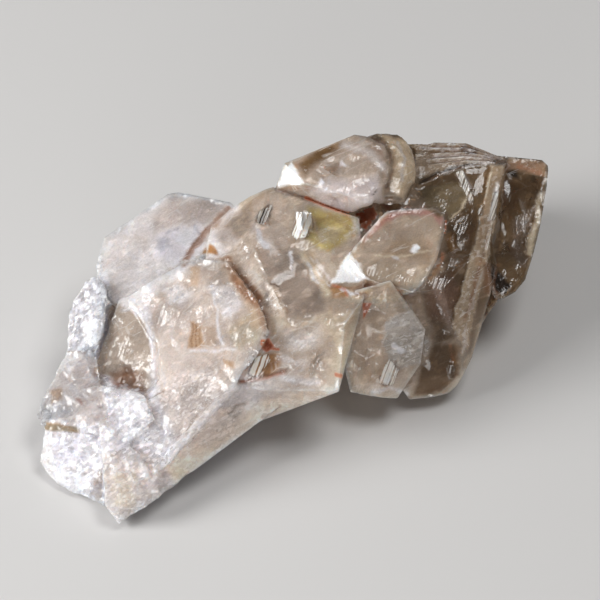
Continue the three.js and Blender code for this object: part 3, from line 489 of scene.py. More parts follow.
# Iron stains: (strength, edge, half width, points).
STAINS = (
    (1.0, 0.7, 0, ((-7.8, -8), (-6.2, -7.6), (-5, -9.2), (-6.6, -10.4), (-7.8, -9.6))),
    (0.8, 0.6, 0.3, ((-6, -9.6), (-4.2, -9.8))),
    (0.5, 1.2, 0.4, ((-11.6, -16.2), (-7, -15.6), (-3.2, -14.4))),
    (0.85, 0.8, 0.4, ((1.2, 20.4), (5, 18.8), (9, 17.4), (12.4, 17))),
    (0.85, 0.7, 0, ((11.6, 17.2), (14.6, 18.8), (15.6, 17), (14, 14.2), (12, 14.2))),
    (0.9, 0.6, 0.3, ((12, 17.2), (14.2, 18.6))),
    (0.7, 0.7, 0.5, ((7.2, -14.8), (9, -15.4))),
    (0.9, 0.7, 0, ((12.4, -0.6), (14.4, -0.6), (12.6, -4))),
    (0.55, 0.9, 0.4, ((6.6, 3), (8.8, 2.2), (9.4, 0.8))),
    (0.75, 0.6, 0.25, ((29.2, 16.4), (28.9, 13.4))),
    (0.5, 1.4, 0.8, ((28.4, 9), (27.6, 7.4))),
    (0.35, 1.2, 0.5, ((30, -9.2), (30.6, -12))),
    (0.35, 1.4, 0.7, ((44, 26.8), (48, 25.6))),
    (0.3, 1.4, 0.6, ((16, -7.2), (16.8, -7.6))),
)

# Stepped glints, where fine growth steps flash as stripes. Their strength is how light they are.
GLINTS = (
    (0.27, 0.4, 0, ((-8.8, 15.4), (-8.4, 17.6), (-5.8, 19.2), (-5.2, 18.4), (-6.8, 14.8))),
    (1.0, 0.4, 0, ((-1.6, 13), (-0.6, 17.4), (1.4, 17.8), (2.2, 16.8), (1.6, 12.8), (-0.6, 12.2))),
    (0.9, 0.5, 0, ((-10.4, -14.6), (-8.8, -11.4), (-6.4, -10.8), (-6, -12), (-8.6, -15.2))),
    (0.75, 0.4, 0, ((16.6, -13.8), (17.8, -11.8), (19.6, -14), (18.4, -17), (15.8, -16.6))),
    (0.5, 0.6, 0, ((31.2, 25.6), (32.6, 26), (34.8, 20), (33.8, 19.8))),
    (0.6, 0.6, 0, ((38.6, 21.4), (39.8, 21.8), (39, 16), (38, 16))),
)


# ---- Helpers ----


def select_only(obj):
    bpy.ops.object.select_all(action="DESELECT")
    obj.select_set(True)
    bpy.context.view_layer.objects.active = obj


def copy_of_node(name, new_name):
    """A merged copy of a CAD node, made the active object. The node's own mesh is left as it is."""
    obj = frame["nodes"][name].copy()
    obj.data = frame["nodes"][name].data.copy()
    obj.name = new_name
    obj.data.name = new_name
    obj.parent = None
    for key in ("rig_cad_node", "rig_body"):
        del obj[key]
    bpy.context.scene.collection.objects.link(obj)
    select_only(obj)
    bpy.ops.object.mode_set(mode="EDIT")
    bpy.ops.mesh.select_all(action="SELECT")
    bpy.ops.mesh.remove_doubles(threshold=MERGE_DISTANCE)
    bpy.ops.object.mode_set(mode="OBJECT")
    return obj


def with_settings(made, settings):
    """Gives a new thing its settings, and hands it back."""
    for key, value in settings.items():
        setattr(made, key, value)
    return made


def apply_modifier(obj, kind, **settings):
    modifier = with_settings(obj.modifiers.new(kind.title(), kind), settings)
    bpy.ops.object.modifier_apply(modifier=modifier.name)


def texture(name, kind, **settings):
    return with_settings(bpy.data.textures.new(name, kind), settings)


WEIGHT_STEPS = 20


def vertex_group(obj, name, weights):
    """A group of weights from 0 to 1, one for each vertex, rounded to WEIGHT_STEPS steps."""
    group = obj.vertex_groups.new(name=name)
    steps = np.rint(np.clip(weights, 0, 1) * WEIGHT_STEPS).astype(int)
    for step in range(1, WEIGHT_STEPS + 1):
        members = np.flatnonzero(steps == step)
        if len(members):
            group.add(members.tolist(), step / WEIGHT_STEPS, "REPLACE")
    return name


def read(items, field, width=1, kind=np.float32):
    """One field of all the items: an array with a row of width numbers for each, or a flat one."""
    values = np.empty(len(items) * width, kind)
    items.foreach_get(field, values)
    return values.reshape(-1, width) if width > 1 else values


def places_of(mesh):
    return read(mesh.vertices, "co", 3).astype(float)


def shown(mesh):
    """Each vertex's place in mm and its normal, both turned to the show side."""
    turn = np.array(SHOW_TURN)
    places = (places_of(mesh) / MM - np.array(SHOW_ORIGIN)) @ turn
    return places, read(mesh.vertices, "normal", 3).astype(float) @ turn


def smooth(x):
    x = np.clip(x, 0, 1)
    return x * x * (3 - 2 * x)


def distance_to(points, u, v, closed):
    """Distance in mm from each place to a line through the points."""
    ends = points[1:] + (points[:1] if closed else ())
    best = np.full(len(u), 1e9)
    for (u0, v0), (u1, v1) in zip(points, ends):
        du, dv = u1 - u0, v1 - v0
        share = np.clip(((u - u0) * du + (v - v0) * dv) / (du * du + dv * dv), 0, 1)
        best = np.minimum(best, np.hypot(u - u0 - share * du, v - v0 - share * dv))
    return best


def inside(points, u, v):
    """Which places lie inside the outline."""
    crossings = np.zeros(len(u), bool)
    for (u0, v0), (u1, v1) in zip(points, points[1:] + points[:1]):
        if v0 == v1:
            continue
        across = (v > min(v0, v1)) & (v <= max(v0, v1))
        crossings ^= across & (u < u0 + (v - v0) * (u1 - u0) / (v1 - v0))
    return crossings


def cover(points, half_width, edge, u, v):
    """How much a patch or stroke covers each place, from 0 to 1."""
    if half_width:
        return smooth(0.5 + (half_width - distance_to(points, u, v, False)) / edge)
    apart = distance_to(points, u, v, True)
    return smooth(0.5 + np.where(inside(points, u, v), apart, -apart) / edge)


WANDER_SEED = 1  # noise_vector draws its offsets anew each run, unless it is seeded


def wander(places, size, reach):
    """Slow random offsets in mm, so that painted edges wander as natural ones do."""
    noise.seed_set(WANDER_SEED)
    offsets = [noise.noise_vector(Vector(p) / size) for p in places]
    return np.array(offsets) * reach


def write_attribute(mesh, name, values):
    if values.ndim == 1:
        mesh.attributes.new(name, "FLOAT", "POINT").data.foreach_set("value", values.astype(np.float32))
        return
    rgba = np.ones((len(values), 4), np.float32)
    rgba[:, :3] = values
    mesh.attributes.new(name, "FLOAT_COLOR", "POINT").data.foreach_set("color", rgba.ravel())


# ---- The cluster's surface ----


def edge_bends(mesh):
    """Each edge's two vertices and how far its two faces bend there, above 0 where it is a ridge."""
    normals = read(mesh.polygons, "normal", 3)
    centres = read(mesh.polygons, "center", 3)
    loop_edges = read(mesh.loops, "edge_index", kind=np.int32)
    loop_faces = np.repeat(np.arange(len(normals)), read(mesh.polygons, "loop_total", kind=np.int32))
    order = np.argsort(loop_edges, kind="stable")
    edges, first, count = np.unique(loop_edges[order], return_index=True, return_counts=True)
    first, edges = first[count == 2], edges[count == 2]
    a, b = loop_faces[order[first]], loop_faces[order[first + 1]]
    bend = np.arccos(np.clip((normals[a] * normals[b]).sum(1), -1, 1))
    ridge = (normals[a] * (centres[b] - centres[a])).sum(1) < 0
    return read(mesh.edges, "vertices", 2, np.int32)[edges], np.where(ridge, bend, -bend)


def spread(values, ends, times):
    """Averages each vertex's value with its neighbours' a number of times."""
    both = np.concatenate((ends, ends[:, ::-1]))
    neighbours = np.maximum(np.bincount(both[:, 0], minlength=len(values)), 1)
    for _ in range(times):
        values = (values + np.bincount(both[:, 0], values[both[:, 1]], len(values)) / neighbours) / 2
    return values


def bends_at_vertices(mesh, least):
    """(ridges, creases, ends): the sharpest ridge and crease at each vertex, in radians."""
    ends, bends = edge_bends(mesh)
    ridges = np.zeros(len(mesh.vertices))
    creases = np.zeros(len(mesh.vertices))
    for side in (0, 1):
        np.maximum.at(ridges, ends[:, side], np.where(bends > least, bends, 0))
        np.maximum.at(creases, ends[:, side], np.where(bends < -least, -bends, 0))
    return ridges, creases, ends


# The outline, on the show side, of the end that is broken and frosted all over.
FROSTED_END = ((-60, 12), (-42, 8), (-38, 2), (-38, -10), (-30, -18), (-24, -26), (-22, -36), (-30, -60),
               (-60, -60))
# The parts whose edges are worn round: the ledges behind the top crystal and its lower face, the folds
# of the middle crystal, the small triangle right of it, the belly's border and the window's right side.
WORN_ROUND = (
    ((2.4, 22), (3, 25), (6.4, 28.4), (12.4, 29), (17.4, 27), (17, 19.6), (12.6, 17), (4, 19.6)),
    ((9.7, 10.6), (5.2, 2.6), (14.6, 3.6)),
    ((-28, -27), (-12, -12.6), (-5, -16), (-4, -21), (-11, -22), (-22, -31)),
    ((-35.4, 2.4), (-31, 1.6), (-26.4, -8), (-26, -18), (-30.4, -17.6), (-30.6, -8)),
    ((12, 36), (26, 36), (26, 20), (19, 19), (17.6, 24), (17, 31)),
    ((-2, -1.6), (9, -2.6), (9, -6), (-2, -6)),
    ((-14, 14), (-5, 14), (-1.6, -3.6), (-6, -5), (-9, 1.4), (-13, 6.6)),
)
# The smoky end's main flats are smooth.
SMOOTH_FLATS = ((26, 24), (36, 25), (36, 12), (32, -10), (26, -14), (23, 2))
MOST_TRIANGLES = 195000
HIDDEN_BELOW = 0.02  # a vertex that faces the onlooker less than this counts as hidden


def triangle_count(mesh):
    mesh.calc_loop_triangles()
    return len(mesh.loop_triangles)


def room_inside(mesh):
    """0 at the sides of the solid's bounding box and 1 from a millimetre inside them."""
    places = places_of(mesh)
    return np.clip(np.minimum(places - np.array(cad_low), np.array(cad_high) - places).min(1) / MM, 0, 1)


def fit_inside(obj):
    """Shrinks the piece by the little that its surface stands outside the solid's bounding box."""
    low, high = np.array(cad_low), np.array(cad_high)
    middle = (low + high) / 2
    reach = np.abs(places_of(obj.data) - middle).max(0)
    bpy.ops.object.mode_set(mode="EDIT")
    bpy.ops.mesh.select_all(action="SELECT")
    bpy.ops.transform.resize(value=np.minimum(1, (high - middle) / reach), center_override=middle)
    bpy.ops.object.mode_set(mode="OBJECT")


SMALLEST_SHELL = 0.01  # share of the largest shell's faces, so that stray crumbs of surface are removed


def remesh(obj, settings):
    """Remakes the surface in small even faces, and thins those that the onlooker doesn't see."""
    apply_modifier(obj, "REMESH", mode="SHARP", octree_depth=settings.detail, scale=settings.fill,
                   use_remove_disconnected=True, threshold=SMALLEST_SHELL)
    hidden = vertex_group(obj, "hidden", shown(obj.data)[1][:, 2] < HIDDEN_BELOW)
    apply_modifier(obj, "DECIMATE", ratio=min(1, MOST_TRIANGLES / triangle_count(obj.data)),
                   vertex_group=hidden, vertex_group_factor=1000)


FROST_FADE = 6.0  # mm, how gradually the frosted end begins
WEAR_FADE = 2.0  # mm, how gradually worn edges and smooth flats begin
STEPS_LOST = 0.75  # how much lower the growth steps are on the smooth flats
# How much each group of vertices is smoothed: (group, factor, iterations).
SMOOTHING = (("edges", 0.4, 1), ("frosted", 0.5, 9), ("rounded", 0.5, 40))


def wear(obj, settings):
    """Softens edges by how worn they are, and keeps each vertex's ridge and crease for the painted ridge
    highlights, the painted crease shade and the rust out of sight.
    """
    u, v = shown(obj.data)[0][:, :2].T
    ridges, creases, ends = bends_at_vertices(obj.data, settings.edge_angle)
    bent = (ridges + creases > 0) * 1.0
    frost = cover(FROSTED_END, 0, FROST_FADE, u, v)
    worn = sum(cover(outline, 0, WEAR_FADE, u, v) for outline in WORN_ROUND).clip(0, 1)
    stepped = 1 - STEPS_LOST * cover(SMOOTH_FLATS, 0, WEAR_FADE, u, v)
    near_edge = np.clip(spread(bent, ends, 3) * 2, 0, 1)
    flats = (1 - near_edge) * stepped * room_inside(obj.data)
    for name, weights in (("edges", bent), ("flats", flats), ("frosted", frost), ("rounded", worn)):
        vertex_group(obj, name, weights)
    for name, factor, iterations in SMOOTHING:
        apply_modifier(obj, "SMOOTH", factor=factor, iterations=iterations, vertex_group=name)
    crisp = 1 - np.maximum(frost, worn)
    write_attribute(obj.data, "ridge", np.clip(spread(ridges * crisp, ends, 2), 0, 1))
    write_attribute(obj.data, "crease", np.clip(spread(creases * crisp, ends, 4), 0, 1))


# What is raised: (its setting, group of vertices, kind of pattern, size in mm).
RAISED = (
    ("blocks", "frosted", "VORONOI", 3.4),
    ("crumbs", "frosted", "VORONOI", 1.4),
    ("steps", "flats", "VORONOI", 7),
    ("swell", "flats", "CLOUDS", 6),
)
FORMS = {
    "VORONOI": {"distance_metric": "CHEBYCHEV", "noise_intensity": 1},
    "CLOUDS": {"noise_depth": 2},
}
RAISED_FROM = 0.55  # the share of a pattern's height that stays below the surface


def roughen(obj, settings):
    """Raises the broken blocks and chips of the frosted end, and the growth steps of the flats."""
    bpy.ops.object.empty_add(rotation=GRAIN_TURN.to_euler())
    grain = bpy.context.object
    select_only(obj)
    for name, group, kind, size in RAISED:
        apply_modifier(obj, "DISPLACE", vertex_group=group, strength=getattr(settings, name),
                       mid_level=RAISED_FROM, texture_coords="OBJECT", texture_coords_object=grain,
                       texture=texture(name, kind, noise_scale=size * MM, **FORMS[kind]))
    bpy.data.objects.remove(grain)


SEEN_CELL = 0.8  # mm, the grid on which the nearest surface is looked up
SEEN_DEPTH = 4.0  # mm, how far behind the nearest surface the paint ends
SLOW_WANDER = (2.5, 0.5)  # mm, the size of the waves in painted edges and their reach
QUICK_WANDER = (0.8, 0.2)
ZONE_SIZE = 11  # mm, the size of lighter, etched and rusty zones out of sight
CLOUD_SIZE = 5  # mm, the size of milky clouds out of sight


def seen_share(places):
    """0 where another crystal stands in front of a place, and 1 where the onlooker sees it."""
    cells = np.floor(places[:, :2] / SEEN_CELL).astype(int)
    cells -= cells.min(0)
    cells = cells[:, 0] * (cells[:, 1].max() + 1) + cells[:, 1]
    nearest = np.full(cells.max() + 1, -1e9)
    np.maximum.at(nearest, cells, places[:, 2])
    return smooth((places[:, 2] - nearest[cells] + SEEN_DEPTH) / 2)


def lumps(places, size):
    """Slow noise from about -1 to 1, with lumps about size mm across."""
    return np.array([noise.noise(Vector(p) / size) for p in places])


def strongest(rows, facing, u, v):
    """The strongest of the rows' patches and strokes at each place."""
    best = np.zeros(len(u))
    for strength, edge, half_width, points in rows:
        best = np.maximum(best, strength * facing * cover(points, half_width, edge, u, v))
    return best


def base_finish(places, away, finish):
    """(tint, frost, clear, rusty) along the growth axis, with milky clouds and etched zones out of sight."""
    along = places @ GROWTH_AXIS
    tint = np.stack([np.interp(along, ALONG_STOPS, column) for column in zip(
        finish.milk, finish.milk, finish.beige, finish.beige, finish.smoke, finish.smoke)], 1)
    frost = np.interp(along, ALONG_STOPS, FROST_ALONG)
    clear = np.interp(along, ALONG_STOPS, CLEAR_ALONG)
    zones = lumps(places, ZONE_SIZE)
    milky = away * smooth(lumps(places, CLOUD_SIZE) * 2.5 - 0.4)
    etched = away * smooth(zones * 3 - 0.3)
    tint *= (1 + away * (0.3 * zones - 0.1))[:, None]
    tint += (np.array(finish.milk) - tint) * (milky * 0.35)[:, None]
    frost += (ETCHED - frost) * etched * 0.5
    clear += (MILKY - clear) * milky * 0.7
    return tint, frost, clear, smooth(zones * -3)


def paint_surface(obj, finish):
    places, normals = shown(obj.data)
    moved = places + wander(places, *SLOW_WANDER) + wander(places, *QUICK_WANDER)
    facing = smooth(normals[:, 2] * 4) * seen_share(places)
    away = 1 - facing
    tint, frost, clear, rusty = base_finish(places, away, finish)
    for colour, strength, own_frost, own_clear, edge, half_width, points in PATCHES:
        share = cover(points, half_width, edge, moved[:, 0], moved[:, 1]) * facing
        tint += (np.array(colour) - tint) * (share * strength)[:, None]
        if own_frost is not KEEP:
            frost += (own_frost - frost) * share
        if own_clear is not KEEP:
            clear += (own_clear - clear) * share
    creases = read(obj.data.attributes["crease"].data, "value")
    rust_out_of_sight = away * 0.8 * smooth(creases * 4) * rusty
    u, v = places[:, 0], places[:, 1]
    write_attribute(obj.data, "tint", tint)
    write_attribute(obj.data, "frost", frost)
    write_attribute(obj.data, "clear", clear)
    write_attribute(obj.data, "stain", np.maximum(rust_out_of_sight, strongest(STAINS, facing, u, v)))
    write_attribute(obj.data, "glint", strongest(GLINTS, facing, u, v))


# ---- Materials ----

# Sizes in mm of what the quartz shows on its surface and just under it.
VEIL, WISP, CRACK, GRIT = 8, 1.6, 2.4, 0.35
FACET, CHIP, GLITTER, FINE = 4.2, 0.5, 0.28, 0.8
STEP_SPACING = 0.45  # between the fine growth steps
STEP_WANDER = 0.3  # how far they stray from straight lines
STEP_HEIGHT = 0.06

# Painted highlights: glitter of tiny white specks on the rougher quartz.
GLITTER_HIGHLIGHT = (1.0, 0.98, 0.97)
# Painted highlights: sparkles on the frosted chips.
SPARKLE_HIGHLIGHT = (1.0, 0.99, 1.0)
WHITE_CRACK = (1.0, 0.97, 0.94)
# Painted shade in the creases, in brown.
CREASE_SHADE = (0.22, 0.11, 0.06)
# Painted highlight along the ridges.
RIDGE_HIGHLIGHT = (0.92, 0.88, 0.85)
LIT_STEP = (0.96, 0.93, 0.88)
UNLIT_STEP = (0.04, 0.03, 0.025)
LIGHT_UNDER_SURFACE = (1.0, 0.85, 0.7)  # how far red, green and blue light spread, for each
SPREAD_UNDER_SURFACE = 0.005  # metres


class Nodes:
    """Adds and links the nodes of one material."""

    def __init__(self, name):
        self.material = bpy.data.materials.new(name)
        self.material.use_nodes = True
        self.tree = self.material.node_tree
        self.tree.nodes.clear()

    def add(self, kind, inputs=None, **settings):
        node = with_settings(self.tree.nodes.new(kind), settings)
        for key, value in (inputs or {}).items():
            if isinstance(value, bpy.types.NodeSocket):
                self.tree.links.new(value, node.inputs[key])
            else:
                node.inputs[key].default_value = value
        return node

    def math(self, operation, a, b):
        return self.add("ShaderNodeMath", {0: a, 1: b}, operation=operation).outputs[0]

    def times(self, a, b):
        return self.math("MULTIPLY", a, b)

    def plus(self, a, b):
        return self.math("ADD", a, b)

    def less(self, a, b):
        return self.math("SUBTRACT", a, b)

    def fade(self, mask, share=1.0):
        """1 where the mask is 0, and less by the share where the mask is 1."""
        return self.less(1.0, self.times(mask, share))

    def mix(self, share, a, b):
        colours = [(*colour, 1) if isinstance(colour, (tuple, Color)) else colour for colour in (a, b)]
        return self.add("ShaderNodeMix", {0: share, 6: colours[0], 7: colours[1]},
                        data_type="RGBA", clamp_factor=True).outputs[2]

    def attribute(self, name, output="Fac"):
        return self.add("ShaderNodeAttribute", attribute_name=name).outputs[output]

    def noise(self, vector, size, detail=4.0, distortion=0.0):
        """Noise whose lumps are about size mm across."""
        return self.add("ShaderNodeTexNoise", {"Vector": vector, "Scale": 1 / (size * MM), "Detail": detail,
                                               "Distortion": distortion}).outputs["Fac"]

    def ramp(self, value, low, high):
        """0 at low and below, 1 at high and above."""
        return self.add("ShaderNodeMapRange", {"Value": value, "From Min": low, "From Max": high},
                        interpolation_type="SMOOTHSTEP").outputs["Result"]

    def vector(self, operation, a, b, output=0):
        return self.add("ShaderNodeVectorMath", {0: a, 1: b}, operation=operation).outputs[output]

    def tilted_cells(self, vector, size):
        """(height, shade) of flat facets about size mm across. Each tilts its own way, by its own amount."""
        cells = self.add("ShaderNodeTexVoronoi", {"Vector": vector, "Scale": 1 / (size * MM)})
        offset = self.vector("SUBTRACT", vector, cells.outputs["Position"])
        tilt = self.vector("SUBTRACT", cells.outputs["Color"], (0.5, 0.5, 0.5))
        shade = self.add("ShaderNodeSeparateColor", {"Color": cells.outputs["Color"]}).outputs["Red"]
        return self.vector("DOT_PRODUCT", offset, tilt, "Value"), shade

    def thin_cracks(self, vector, size):
        """1 on thin straight cracks that cut the quartz into long lumps about size mm across."""
        stretched = self.vector("MULTIPLY", vector, (0.16, 1, 1))
        cells = self.add("ShaderNodeTexVoronoi", {"Vector": stretched, "Scale": 1 / (size * MM)},
                         feature="DISTANCE_TO_EDGE")
        return self.ramp(cells.outputs["Distance"], 0.05, 0.01)


class Quartz(Nodes):
    """The quartz: the masks and patterns that its colour, its clearness and its relief share."""

    def __init__(self):
        super().__init__("quartz")
        self.place = self.add("ShaderNodeTexCoord").outputs["Object"]
        self.grain = self.add("ShaderNodeMapping", {
            "Vector": self.place,
            "Rotation": GRAIN_TURN.inverted().to_euler(),
            "Scale": (0.55, 1, 1),
        }).outputs["Vector"]
        self.frost = self.attribute("frost")
        self.flash = self.attribute("glint")
        self.glint = self.ramp(self.flash, 0.15, 0.3)
        self.glassy = self.ramp(self.attribute("clear"), 0.5, 0.75)
        self.rugged = self.fade(self.glassy, 0.75)
        self.fine = self.noise(self.place, FINE)
        self.stain = self.plus(self.attribute("stain"), self.times(self.less(self.fine, 0.5), 0.5))
        self.veils = self.ramp(self.noise(self.grain, VEIL, 4, 0.4), 0.36, 0.68)
        self.wisps = self.ramp(self.noise(self.grain, WISP, 6, 0.2), 0.5, 0.8)
        self.facets, self.facet_shade = self.tilted_cells(self.grain, FACET)
        self.chips, self.chip_shade = self.tilted_cells(self.grain, CHIP)
        # Painted sparkle: white highlights on the frosted chips.
        self.sparkle = self.times(self.ramp(self.chip_shade, 0.74, 0.8), self.ramp(self.frost, 0.35, 0.95))
        self.painted = self.math("MAXIMUM", self.sparkle,
                                 self.math("MAXIMUM", self.glint, self.ramp(self.stain, 0.1, 0.7)))
        across = self.vector("DOT_PRODUCT", self.place, SHOW_TURN @ Vector((0.94, -0.35, 0)), "Value")
        across = self.plus(across, self.times(self.noise(self.place, 1.4, 2), STEP_WANDER * MM))
        self.steps = self.add("ShaderNodeTexNoise", noise_dimensions="1D", inputs={
            "W": across, "Scale": 1 / (STEP_SPACING * MM), "Detail": 0.0}).outputs["Fac"]

    def lightness(self):
        """What the tint is multiplied by: lighter in veils and wisps, darker on some facets and chips."""
        light = self.plus(self.plus(0.86, self.times(self.veils, 0.2)), self.times(self.wisps, 0.17))
        light = self.plus(light, self.times(self.less(self.noise(self.place, GRIT, 2), 0.5), 0.4))
        light = self.less(light, self.times(self.ramp(self.facet_shade, 0.5, 1.0), 0.14))
        shaded = self.times(self.ramp(self.chip_shade, 0.4, 0.1), self.times(self.frost, 0.16))
        return self.less(light, shaded)

    def colour(self, rust, deep_rust):
        # Painted glitter: tiny white highlights on the rougher quartz.
        glitter = self.times(self.ramp(self.tilted_cells(self.place, GLITTER)[1], 0.84, 0.9),
                          self.ramp(self.frost, 0.1, 0.3))
        glittery = self.times(self.ramp(self.noise(self.place, 2.2, 3), 0.5, 0.62), self.rugged)
        cracked = self.times(self.ramp(self.noise(self.place, 5, 2), 0.5, 0.62), self.fade(self.glassy, 0.8))
        # Painted shade: the creases are darkened.
        crease = self.ramp(self.attribute("crease"), 0.08, 0.45)
        # Painted highlight: the ridges are lightened.
        ridge = self.ramp(self.attribute("ridge"), 0.12, 0.5)
        colour = self.add("ShaderNodeVectorMath", operation="SCALE", inputs={
            0: self.attribute("tint", "Color"), "Scale": self.lightness()}).outputs["Vector"]
        for mask, share, layer in (
            (self.times(glitter, glittery), 0.4, GLITTER_HIGHLIGHT),
            (self.sparkle, 0.65, SPARKLE_HIGHLIGHT),
            (self.times(self.thin_cracks(self.grain, CRACK), cracked), 0.3, WHITE_CRACK),
            (crease, 0.48, CREASE_SHADE),
            (ridge, 0.14, RIDGE_HIGHLIGHT),
            (self.ramp(self.stain, 0.1, 0.8), 0.85, rust),
            (self.ramp(self.stain, 0.75, 1.2), 1.0, deep_rust),
        ):
            colour = self.mix(self.times(mask, share), colour, layer)
        bars = self.times(self.ramp(self.steps, 0.4, 0.52), self.plus(0.35, self.times(self.flash, 0.65)))
        between = self.mix(self.fade(self.flash), colour, UNLIT_STEP)
        return self.mix(self.glint, colour, self.mix(bars, between, LIT_STEP))

    def clearness(self):
        milky = self.plus(self.times(self.wisps, 0.3), self.times(self.veils, 0.3))
        return self.times(self.times(self.attribute("clear"), self.fade(milky)), self.fade(self.painted))

    def roughness(self):
        rough = self.plus(self.times(self.frost, 0.32), self.times(self.fine, 0.06))
        return self.times(rough, self.fade(self.painted, 0.7))

    def relief(self):
        """The height in metres of what is too fine for the mesh."""
        ribbed = self.plus(0.35, self.ramp(self.noise(self.place, 7, 2), 0.5, 0.64))
        ribbed = self.math("MAXIMUM", self.glint, self.times(ribbed, self.fade(self.glassy, 0.65)))
        lines = self.times(self.times(self.steps, ribbed), STEP_HEIGHT * MM)
        waves = self.times(self.noise(self.place, 3, 3), self.less(0.0003, self.times(self.glassy, 0.00024)))
        pitted = self.times(self.frost, self.rugged)
        pits = self.times(self.noise(self.place, 0.5, 3), self.times(self.plus(pitted, 0.04), 0.00015))
        height = self.times(self.facets, self.less(0.22, self.times(self.glassy, 0.15)))
        height = self.plus(height, self.times(self.chips, self.times(pitted, 0.6)))
        return self.plus(self.plus(height, pits), self.plus(lines, waves))


def quartz_material(finish):
    n = Quartz()
    bump = n.add("ShaderNodeBump", {"Height": n.relief(), "Strength": 1.0, "Distance": 1.0})
    shader = n.add("ShaderNodeBsdfPrincipled", {
        "Base Color": n.colour(finish.rust, finish.deep_rust),
        "Roughness": n.roughness(),
        "IOR": finish.ior,
        "Transmission Weight": n.clearness(),
        "Subsurface Weight": 1.0,
        "Subsurface Radius": LIGHT_UNDER_SURFACE,
        "Subsurface Scale": SPREAD_UNDER_SURFACE,
        "Normal": bump.outputs["Normal"],
    })
    inner = n.add("ShaderNodeVolumeAbsorption", {
        "Color": (*finish.absorbed, 1),
        "Density": finish.density,
    })
    n.add("ShaderNodeOutputMaterial", {
        "Surface": shader.outputs["BSDF"],
        "Volume": inner.outputs["Volume"],
    })
    return n.material


def floor_material(colour):
    n = Nodes("floor")
    shader = n.add("ShaderNodeBsdfPrincipled", {"Base Color": (*colour, 1), "Roughness": 0.6})
    n.add("ShaderNodeOutputMaterial", {"Surface": shader.outputs["BSDF"]})
    return n.material


# ---- Operators ----


class QUARTZ_OT_cluster(bpy.types.Operator):
    """Makes the quartz cluster in place of the plain solid"""

    bl_idname = "quartz.cluster"
    bl_label = "Quartz cluster"

    def execute(self, context):
        scene = context.scene
        obj = copy_of_node(CAD_NODE, PIECE)
        remesh(obj, scene.quartz_shape)
        wear(obj, scene.quartz_shape)
        roughen(obj, scene.quartz_shape)
        fit_inside(obj)
        paint_surface(obj, scene.quartz_finish)
        obj.data.materials.clear()
        obj.data.materials.append(quartz_material(scene.quartz_finish))
        select_only(obj)
        bpy.ops.object.shade_smooth_by_angle(angle=scene.quartz_shape.edge_angle)
        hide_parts(CAD_NODE)
        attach(obj, "root")
        return {"FINISHED"}


# Each softbox: its name, direction as the onlooker stands, distance and size in metres, and setting.
SOFTBOXES = (
    ("key", (-0.86, -0.22, 0.46), 0.9, (0.45, 0.5), "key_power"),
    ("top", (0.3, -0.1, 0.9), 1.4, (0.7, 0.5), "fill_power"),
    ("front", (-0.25, -1.0, 0.22), 1.1, (0.5, 0.3), "front_power"),
)
AIM = (0, 0, 20)  # mm, on the show side: the place that the softboxes face
FLOOR_SIZE = 6
FLOOR_DROP = 0.0001  # metres, so that the floor and the resting face don't coincide


def add_softbox(name, direction, distance, size, energy):
    aim = from_show(*AIM)
    place = aim + from_table(*direction).normalized() * distance
    bpy.ops.object.light_add(type="AREA", location=place)
    light = bpy.context.object
    light.name = name
    light.data.shape = "RECTANGLE"
    light.data.size, light.data.size_y = size
    light.data.energy = energy
    light.rotation_euler = (place - aim).to_track_quat("Z", "Y").to_euler()


class QUARTZ_OT_stage(bpy.types.Operator):
    """Makes the floor, the lights, the surroundings and the camera"""

    bl_idname = "quartz.stage"
    bl_label = "Stage"

    def execute(self, context):
        scene = context.scene
        settings = scene.quartz_stage
        bpy.ops.object.select_all(action="DESELECT")
        bpy.ops.mesh.primitive_plane_add(size=FLOOR_SIZE, location=(0, 0, -FLOOR_DROP))
        floor = context.object
        floor.name = "floor"
        floor.data.materials.append(floor_material(settings.floor))
        for name, direction, distance, size, setting in SOFTBOXES:
            add_softbox(name, direction, distance, size, getattr(settings, setting))
        scene.world = bpy.data.worlds.new("surroundings")
        scene.world.use_nodes = True
        background = scene.world.node_tree.nodes["Background"]
        background.inputs["Color"].default_value = (1, 1, 1, 1)
        background.inputs["Strength"].default_value = settings.world
        scene.view_settings.view_transform = "Standard"
        add_camera(scene)
        return {"FINISHED"}


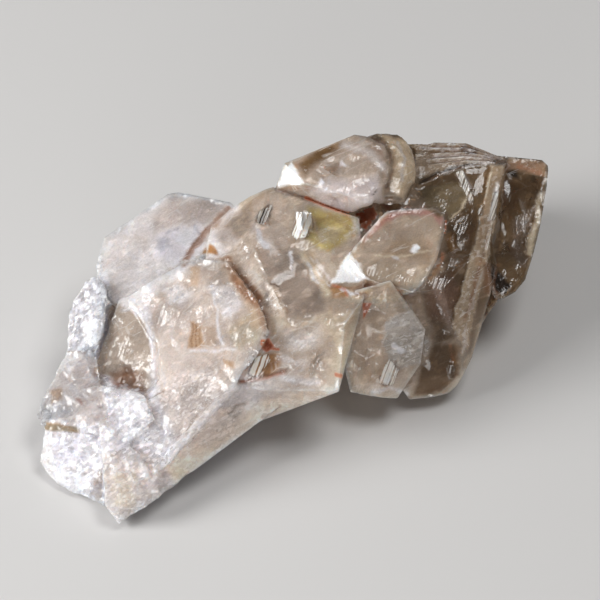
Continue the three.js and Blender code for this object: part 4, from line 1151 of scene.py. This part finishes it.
CAMERA_DISTANCE = 2.5  # metres
SENSOR = 36.0  # mm
VIEW_WIDTH = 0.12  # metres, what the view spans at its centre
VIEW_DEPTH = 20  # metres, past which nothing shows
VIEW_CENTRE = (2.6, -1.55, 15.0)  # mm, in the frame


def add_camera(scene):
    centre = Vector(VIEW_CENTRE) * MM
    back = SHOW_TURN @ Vector((0, 0, 1))
    bpy.ops.object.camera_add(location=centre + back * CAMERA_DISTANCE)
    camera = bpy.context.object
    camera.rotation_euler = back.to_track_quat("Z", "Y").to_euler()
    camera.data.sensor_width = SENSOR
    camera.data.lens = SENSOR * CAMERA_DISTANCE / VIEW_WIDTH
    camera.data.clip_end = VIEW_DEPTH
    scene.camera = camera


class QUARTZ_PT_panel(bpy.types.Panel):
    """Lists the pieces and the stage"""

    bl_label = "Quartz cluster"
    bl_idname = "QUARTZ_PT_panel"
    bl_space_type = "VIEW_3D"
    bl_region_type = "UI"
    bl_category = "Quartz"

    def draw(self, context):
        for group in ("quartz_shape", "quartz_finish", "quartz_stage"):
            box = self.layout.box()
            settings = getattr(context.scene, group)
            for key in settings.__annotations__:
                box.prop(settings, key)
        self.layout.operator(QUARTZ_OT_cluster.bl_idname)
        self.layout.operator(QUARTZ_OT_stage.bl_idname)


CLASSES = (
    QuartzShapeSettings, QuartzFinishSettings, QuartzStageSettings,
    QUARTZ_OT_cluster, QUARTZ_OT_stage, QUARTZ_PT_panel,
)


def register():
    for made in CLASSES:
        bpy.utils.register_class(made)
    bpy.types.Scene.quartz_shape = bpy.props.PointerProperty(type=QuartzShapeSettings)
    bpy.types.Scene.quartz_finish = bpy.props.PointerProperty(type=QuartzFinishSettings)
    bpy.types.Scene.quartz_stage = bpy.props.PointerProperty(type=QuartzStageSettings)


def unregister():
    for name in ("quartz_shape", "quartz_finish", "quartz_stage"):
        delattr(bpy.types.Scene, name)
    for made in reversed(CLASSES):
        bpy.utils.unregister_class(made)


def main():
    register()
    bpy.ops.quartz.cluster()
    bpy.ops.quartz.stage()


if __name__ == "__main__":
    main()
